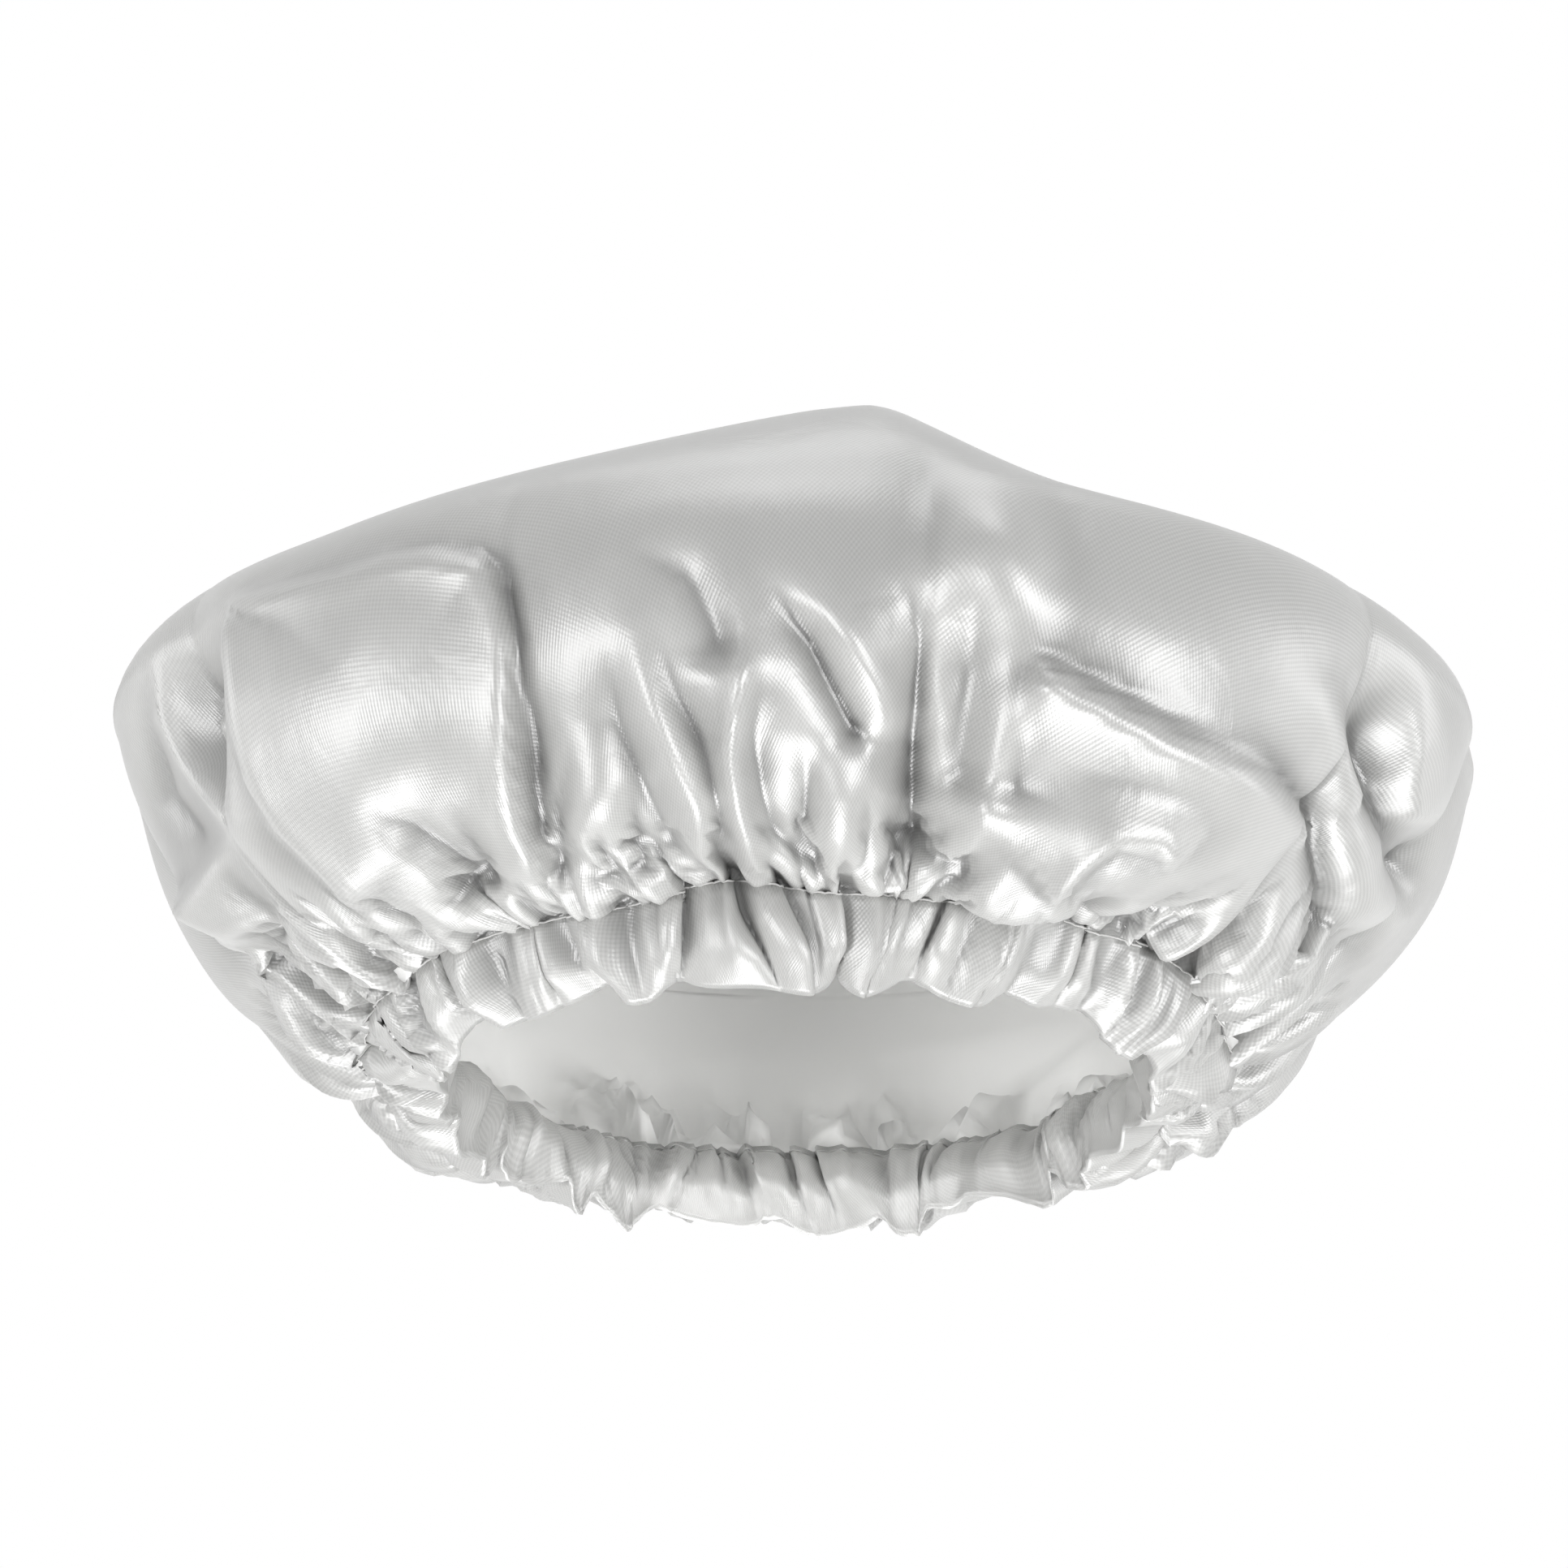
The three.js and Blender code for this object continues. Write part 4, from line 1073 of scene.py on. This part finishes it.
def film_grid(sizes):
    """Film inside the satin: the plain shell set in by the inset, with broad soft facets.

    Towards the seam the film takes on the satin's gathers and closes up to it, so that it enters
    the seam between the hem's plies.
    """
    x, rows = satin_grid(sizes)
    seam = meridian(sizes)[0][-1]
    kept = rows <= seam + FILM_EDGE
    satin, rows = x[kept][:, ::2], rows[kept]
    s, a = np.meshgrid(rows, ring_angles(satin.shape[1]), indexing="ij")
    r, z, a, m, out_r, out_z = plain_cap(sizes, s, a)
    out = np.stack([out_r * np.cos(a), out_r * np.sin(a), out_z], -1)
    facets = FILM_FACETS[0] * np.sin(3 * a + 2.5 * m) * ease(m, 0.2, 0.8)
    facets = facets + FILM_FACETS[1] * np.sin(5 * a - 4 * m + 1)
    closing = ease(s, seam + FILM_EDGE, seam - FILM_CLOSING) ** 0.7
    inset = mix(FILM_SEAM_GAP, sizes.film_inset, closing) + facets * ease(m, 1.95, 1.5)
    ruffle, _ = pleat_wave(a + 3 * (seam - s), FILM_PLEATS)
    inset = inset + FILM_PLEATS.height * ruffle * band(s - seam, *RUFFLE_BAND)
    far, near = FILM_FOLLOWS
    follow = ease(s, seam - far, seam - near)[..., None]
    film = mix(in_space(sizes, r, z, a), satin, follow) - inset[..., None] * out
    lengths = edge_lengths(film)[:-1].mean(1)
    return film, rows[0] + np.concatenate([[0], np.cumsum(lengths)])


class SHOWERCAP_OT_elastic(bpy.types.Operator):
    """Makes the elastic strip in the hem's channel, lapped at the back"""

    bl_idname = "shower_cap.elastic"
    bl_label = "Elastic strip"

    def execute(self, context):
        sizes, colours = context.scene.cap_sizes, context.scene.cap_colours
        material = elastic_material(colours)
        piece = elastic_strip(sizes, material)
        stretch(piece)
        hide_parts("elastic_band")
        return {"FINISHED"}


def hem_place(sizes, depth, out, a):
    """Point of the plain hem at a depth below the seam and a distance outwards, at angle a."""
    lean = hem_lean(sizes, a)
    r = sizes.seam_radius - depth * np.sin(lean) + out * np.cos(lean)
    return np.stack([r * np.cos(a), r * np.sin(a), -depth * np.cos(lean) - out * np.sin(lean)], -1)


def squared(wave):
    """A sine or cosine pressed towards a square wave: its sign times its size to the power 0.35."""
    return np.sign(wave) * np.abs(wave) ** 0.35


def elastic_strip(sizes, material):
    """Ribbed strip round the channel's middle, one turn and a lap long.

    Its section is a flat loop whose faces carry cords, |sin| across the width. It spirals outwards
    by one ply so that its last stretch lies on its first.
    """
    steps, across, cords = 420, 48, 9
    centre, width, ply = sizes.elastic_centre, sizes.elastic_width, sizes.elastic_ply
    lap = sizes.elastic_lap / sizes.seam_radius
    a = (math.pi / 2 - lap / 2 + np.linspace(0, 1, steps) * (FULL_TURN + lap))[:, None]
    loop = np.linspace(0, FULL_TURN, across, endpoint=False)
    depth = centre - width / 2 * squared(np.cos(loop))
    cord = 0.8 + 0.2 * np.abs(np.sin(cords * math.pi * (depth - centre) / width))
    flat = ply / 2 * squared(np.sin(loop)) * cord
    share = (a - a[0]) / (a[-1] - a[0])
    middle = -sizes.hem_channel / 2 - ply * 0.55 + 1.1 * ply * ease(share, 0.9, 0.965)
    points = hem_place(sizes, depth + 0 * a, flat + middle, a + 0 * loop)
    ends = np.stack([points[0].mean(0), points[-1].mean(0)])
    points = np.concatenate([points.reshape(-1, 3), ends])
    index, faces = tube_faces(steps, across)
    first = np.stack([np.full(across, steps * across), np.roll(index[0], -1), index[0]], -1)
    last = np.stack([np.full(across, steps * across + 1), index[-1], np.roll(index[-1], -1)], -1)
    return new_piece("elastic_strip", points, faces + first.tolist() + last.tolist(), material)


class SHOWERCAP_OT_sewing(bpy.types.Operator):
    """Makes the two rows of seam stitches and the zigzag that holds the elastic's lap"""

    bl_idname = "shower_cap.sewing"
    bl_label = "Sewing"

    def execute(self, context):
        sizes, colours = context.scene.cap_sizes, context.scene.cap_colours
        material = thread_material(colours)
        outer, inner = stitch_rows(sizes)
        rows = (
            ("needle_stitches", "hem_needle_thread", outer),
            ("bobbin_stitches", "hem_bobbin_thread", inner),
        )
        for name, node, centres in rows:
            piece = ring_tube(name, centres, sizes.thread_radius, 6, material)
            stretch(piece)
            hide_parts(node)
        piece = lap_tack(sizes, material)
        stretch(piece)
        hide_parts("elastic_lap_tack")
        return {"FINISHED"}


def stitch_rows(sizes):
    """Centres of the needle row outside the seam and of the bobbin row inside the turning.

    Each row follows the cloth a thread away and dips into it between stitches, as |cos| along it.
    """
    x, rows = satin_grid(sizes)
    seam = meridian(sizes)[0][-1]
    normals = grid_normals(x)
    found = []
    for distance in (seam + STITCH_DROP, seam + 2 * sizes.hem_depth - STITCH_DROP):
        row = int(np.argmin(np.abs(rows - distance)))
        points, out = finer_rings(np.stack([x[row], normals[row]]), 4 * x.shape[1])
        steps = np.linalg.norm(np.roll(points, -1, 0) - points, axis=1)
        run = np.concatenate([[0], np.cumsum(steps)[:-1]])
        stitches = round(steps.sum() / sizes.stitch_length)
        lift = np.abs(np.sin(math.pi * stitches * run / steps.sum())) ** 0.5
        away = sizes.satin_thickness / 2 + sizes.thread_radius * (1.6 * lift - 0.9)
        found.append(points + away[:, None] * unit(out))
    return found


def lap_tack(sizes, material):
    """Zigzag of thread over the elastic's lap, as one tube with rounded turns."""
    zigzags, sides = 4, 6
    length, height = 9 * MM, 5.5 * MM
    t = np.linspace(0, 1, 24 * zigzags + 1)
    wave = np.arcsin(0.96 * np.sin(FULL_TURN * zigzags * t)) / np.arcsin(0.96)
    a = math.pi / 2 + (t - 0.5) * length / sizes.seam_radius
    out = -sizes.hem_channel / 2 + 1.15 * sizes.elastic_ply + sizes.thread_radius
    centres = hem_place(sizes, sizes.elastic_centre + wave * height / 2, out + 0 * t, a)
    outwards, aside = across_path(centres, unit(np.gradient(centres, axis=0)))
    turn = (np.arange(sides) * FULL_TURN / sides)[:, None]
    ring = np.cos(turn) * outwards[:, None] + np.sin(turn) * aside[:, None]
    points = centres[:, None] + sizes.thread_radius * ring
    index, faces = tube_faces(len(t), sides)
    caps = [index[0].tolist(), index[-1][::-1].tolist()]
    return new_piece("lap_tack", points, faces + caps, material)


class SHOWERCAP_OT_stage(bpy.types.Operator):
    """Makes the floor, the soft studio lights, the white surround and the camera"""

    bl_idname = "shower_cap.stage"
    bl_label = "Studio stage"

    def execute(self, context):
        scene = context.scene
        scene.view_settings.view_transform = "Standard"
        studio_floor(scene.cap_colours)
        studio_world(scene)
        studio_lights(scene)
        photo_camera(scene)
        return {"FINISHED"}


def white_to_camera(tree, plain, output):
    """Shows white, of strength 1, to the camera and in reflections, and the plain shader to light."""
    path = add_node(tree, "ShaderNodeLightPath")
    seen = path.outputs["Is Camera Ray"]
    for ray in ("Is Glossy Ray", "Is Transmission Ray"):
        either = add_node(tree, "ShaderNodeMath", operation="MAXIMUM")
        tree.links.new(seen, either.inputs[0])
        tree.links.new(path.outputs[ray], either.inputs[1])
        seen = either.outputs[0]
    white = add_node(tree, "ShaderNodeBackground", Color=(1, 1, 1, 1), Strength=1.0)
    choice = add_node(tree, "ShaderNodeMixShader")
    tree.links.new(seen, choice.inputs[0])
    tree.links.new(plain.outputs[0], choice.inputs[1])
    tree.links.new(white.outputs[0], choice.inputs[2])
    tree.links.new(choice.outputs[0], output.inputs["Surface"])


def studio_floor(colours):
    """Pale square floor at the feet of someone who wears the cap."""
    signs = ((-1, -1), (1, -1), (1, 1), (-1, 1))
    corners = np.array([(x * FLOOR_HALF, y * FLOOR_HALF, FLOOR_HEIGHT) for x, y in signs])
    material, _, shader = nodes_of("studio_floor")
    shader.inputs["Base Color"].default_value = (*colours.floor, 1)
    shader.inputs["Roughness"].default_value = 0.9
    floor = new_piece("studio_floor", corners, [(0, 1, 2, 3)], material)


def studio_world(scene):
    """Even grey surround for light, seen as plain white."""
    world = bpy.data.worlds.new("studio_surround")
    scene.world = world
    world.use_nodes = True
    tree = world.node_tree
    plain = tree.nodes["Background"]
    plain.inputs["Color"].default_value = (1, 1, 1, 1)
    plain.inputs["Strength"].default_value = SURROUND
    white_to_camera(tree, plain, tree.nodes["World Output"])


# Soft boxes: azimuth from the front towards +X and elevation in degrees, distance, side and power
Box = namedtuple("Box", "name azimuth elevation distance side power")
SOFT_BOXES = (
    Box("left_box", -50, -26, 1.25, 0.55, 7.5),
    Box("right_box", 52, -26, 1.25, 0.55, 8.5),
    Box("low_box", 180, -84, 1.3, 0.7, 15.0),
    Box("left_rim", -95, 5, 1.3, 0.6, 3.0),
    Box("right_rim", 95, 5, 1.3, 0.6, 3.0),
    Box("top_box", 0, 60, 1.4, 0.8, 5.0),
    Box("back_box", 180, 84, 1.4, 0.8, 3.5),
)


def studio_lights(scene):
    """Square soft boxes round the cap, each turned to its middle."""
    middle = np.array([0, 0, 45 * MM])
    for box in SOFT_BOXES:
        lamp = bpy.data.lights.new(box.name, "AREA")
        lamp.shape = "SQUARE"
        lamp.size = box.side
        lamp.energy = box.power
        light = bpy.data.objects.new(box.name, lamp)
        turn, rise = math.radians(box.azimuth), math.radians(box.elevation)
        level = math.cos(rise)
        out = np.array([math.sin(turn) * level, -math.cos(turn) * level, math.sin(rise)])
        light.location = middle + out * box.distance
        light.rotation_euler = (math.pi / 2 - rise, 0, turn)
        scene.collection.objects.link(light)


def photo_camera(scene):
    """Camera of the photograph: in front of the cap and below it, looking up."""
    camera = bpy.data.objects.new("photo_camera", bpy.data.cameras.new("photo_camera"))
    camera.data.lens = CAMERA_LENS
    camera.data.sensor_width = CAMERA_SENSOR
    camera.location = camera_axes()[0]
    camera.rotation_euler = (math.pi / 2 - CAMERA_ELEVATION, 0, 0)
    scene.collection.objects.link(camera)
    scene.camera = camera


class SHOWERCAP_PT_panel(bpy.types.Panel):
    """Lists the cap's pieces, sizes and colours in the sidebar"""

    bl_idname = "SHOWERCAP_PT_panel"
    bl_label = "Shower Cap"
    bl_space_type = "VIEW_3D"
    bl_region_type = "UI"
    bl_category = "Shower Cap"

    def draw(self, context):
        for operator in OPERATORS:
            self.layout.operator(operator.bl_idname)
        for group in (context.scene.cap_sizes, context.scene.cap_colours):
            column = self.layout.column(align=True)
            for name in group.__annotations__:
                column.prop(group, name)


OPERATORS = (
    SHOWERCAP_OT_satin,
    SHOWERCAP_OT_film,
    SHOWERCAP_OT_elastic,
    SHOWERCAP_OT_sewing,
    SHOWERCAP_OT_stage,
)
CLASSES = (CapSizes, CapColours, *OPERATORS, SHOWERCAP_PT_panel)


def register():
    """Registers the classes and hangs the sizes and colours on the scene."""
    for each in CLASSES:
        bpy.utils.register_class(each)
    bpy.types.Scene.cap_sizes = bpy.props.PointerProperty(type=CapSizes)
    bpy.types.Scene.cap_colours = bpy.props.PointerProperty(type=CapColours)


def unregister():
    """Takes the sizes, colours and classes away again."""
    del bpy.types.Scene.cap_colours
    del bpy.types.Scene.cap_sizes
    for each in reversed(CLASSES):
        bpy.utils.unregister_class(each)


def main():
    register()
    bpy.ops.shower_cap.stage()
    bpy.ops.shower_cap.satin()
    bpy.ops.shower_cap.film()
    bpy.ops.shower_cap.elastic()
    bpy.ops.shower_cap.sewing()


if __name__ == "__main__":
    main()
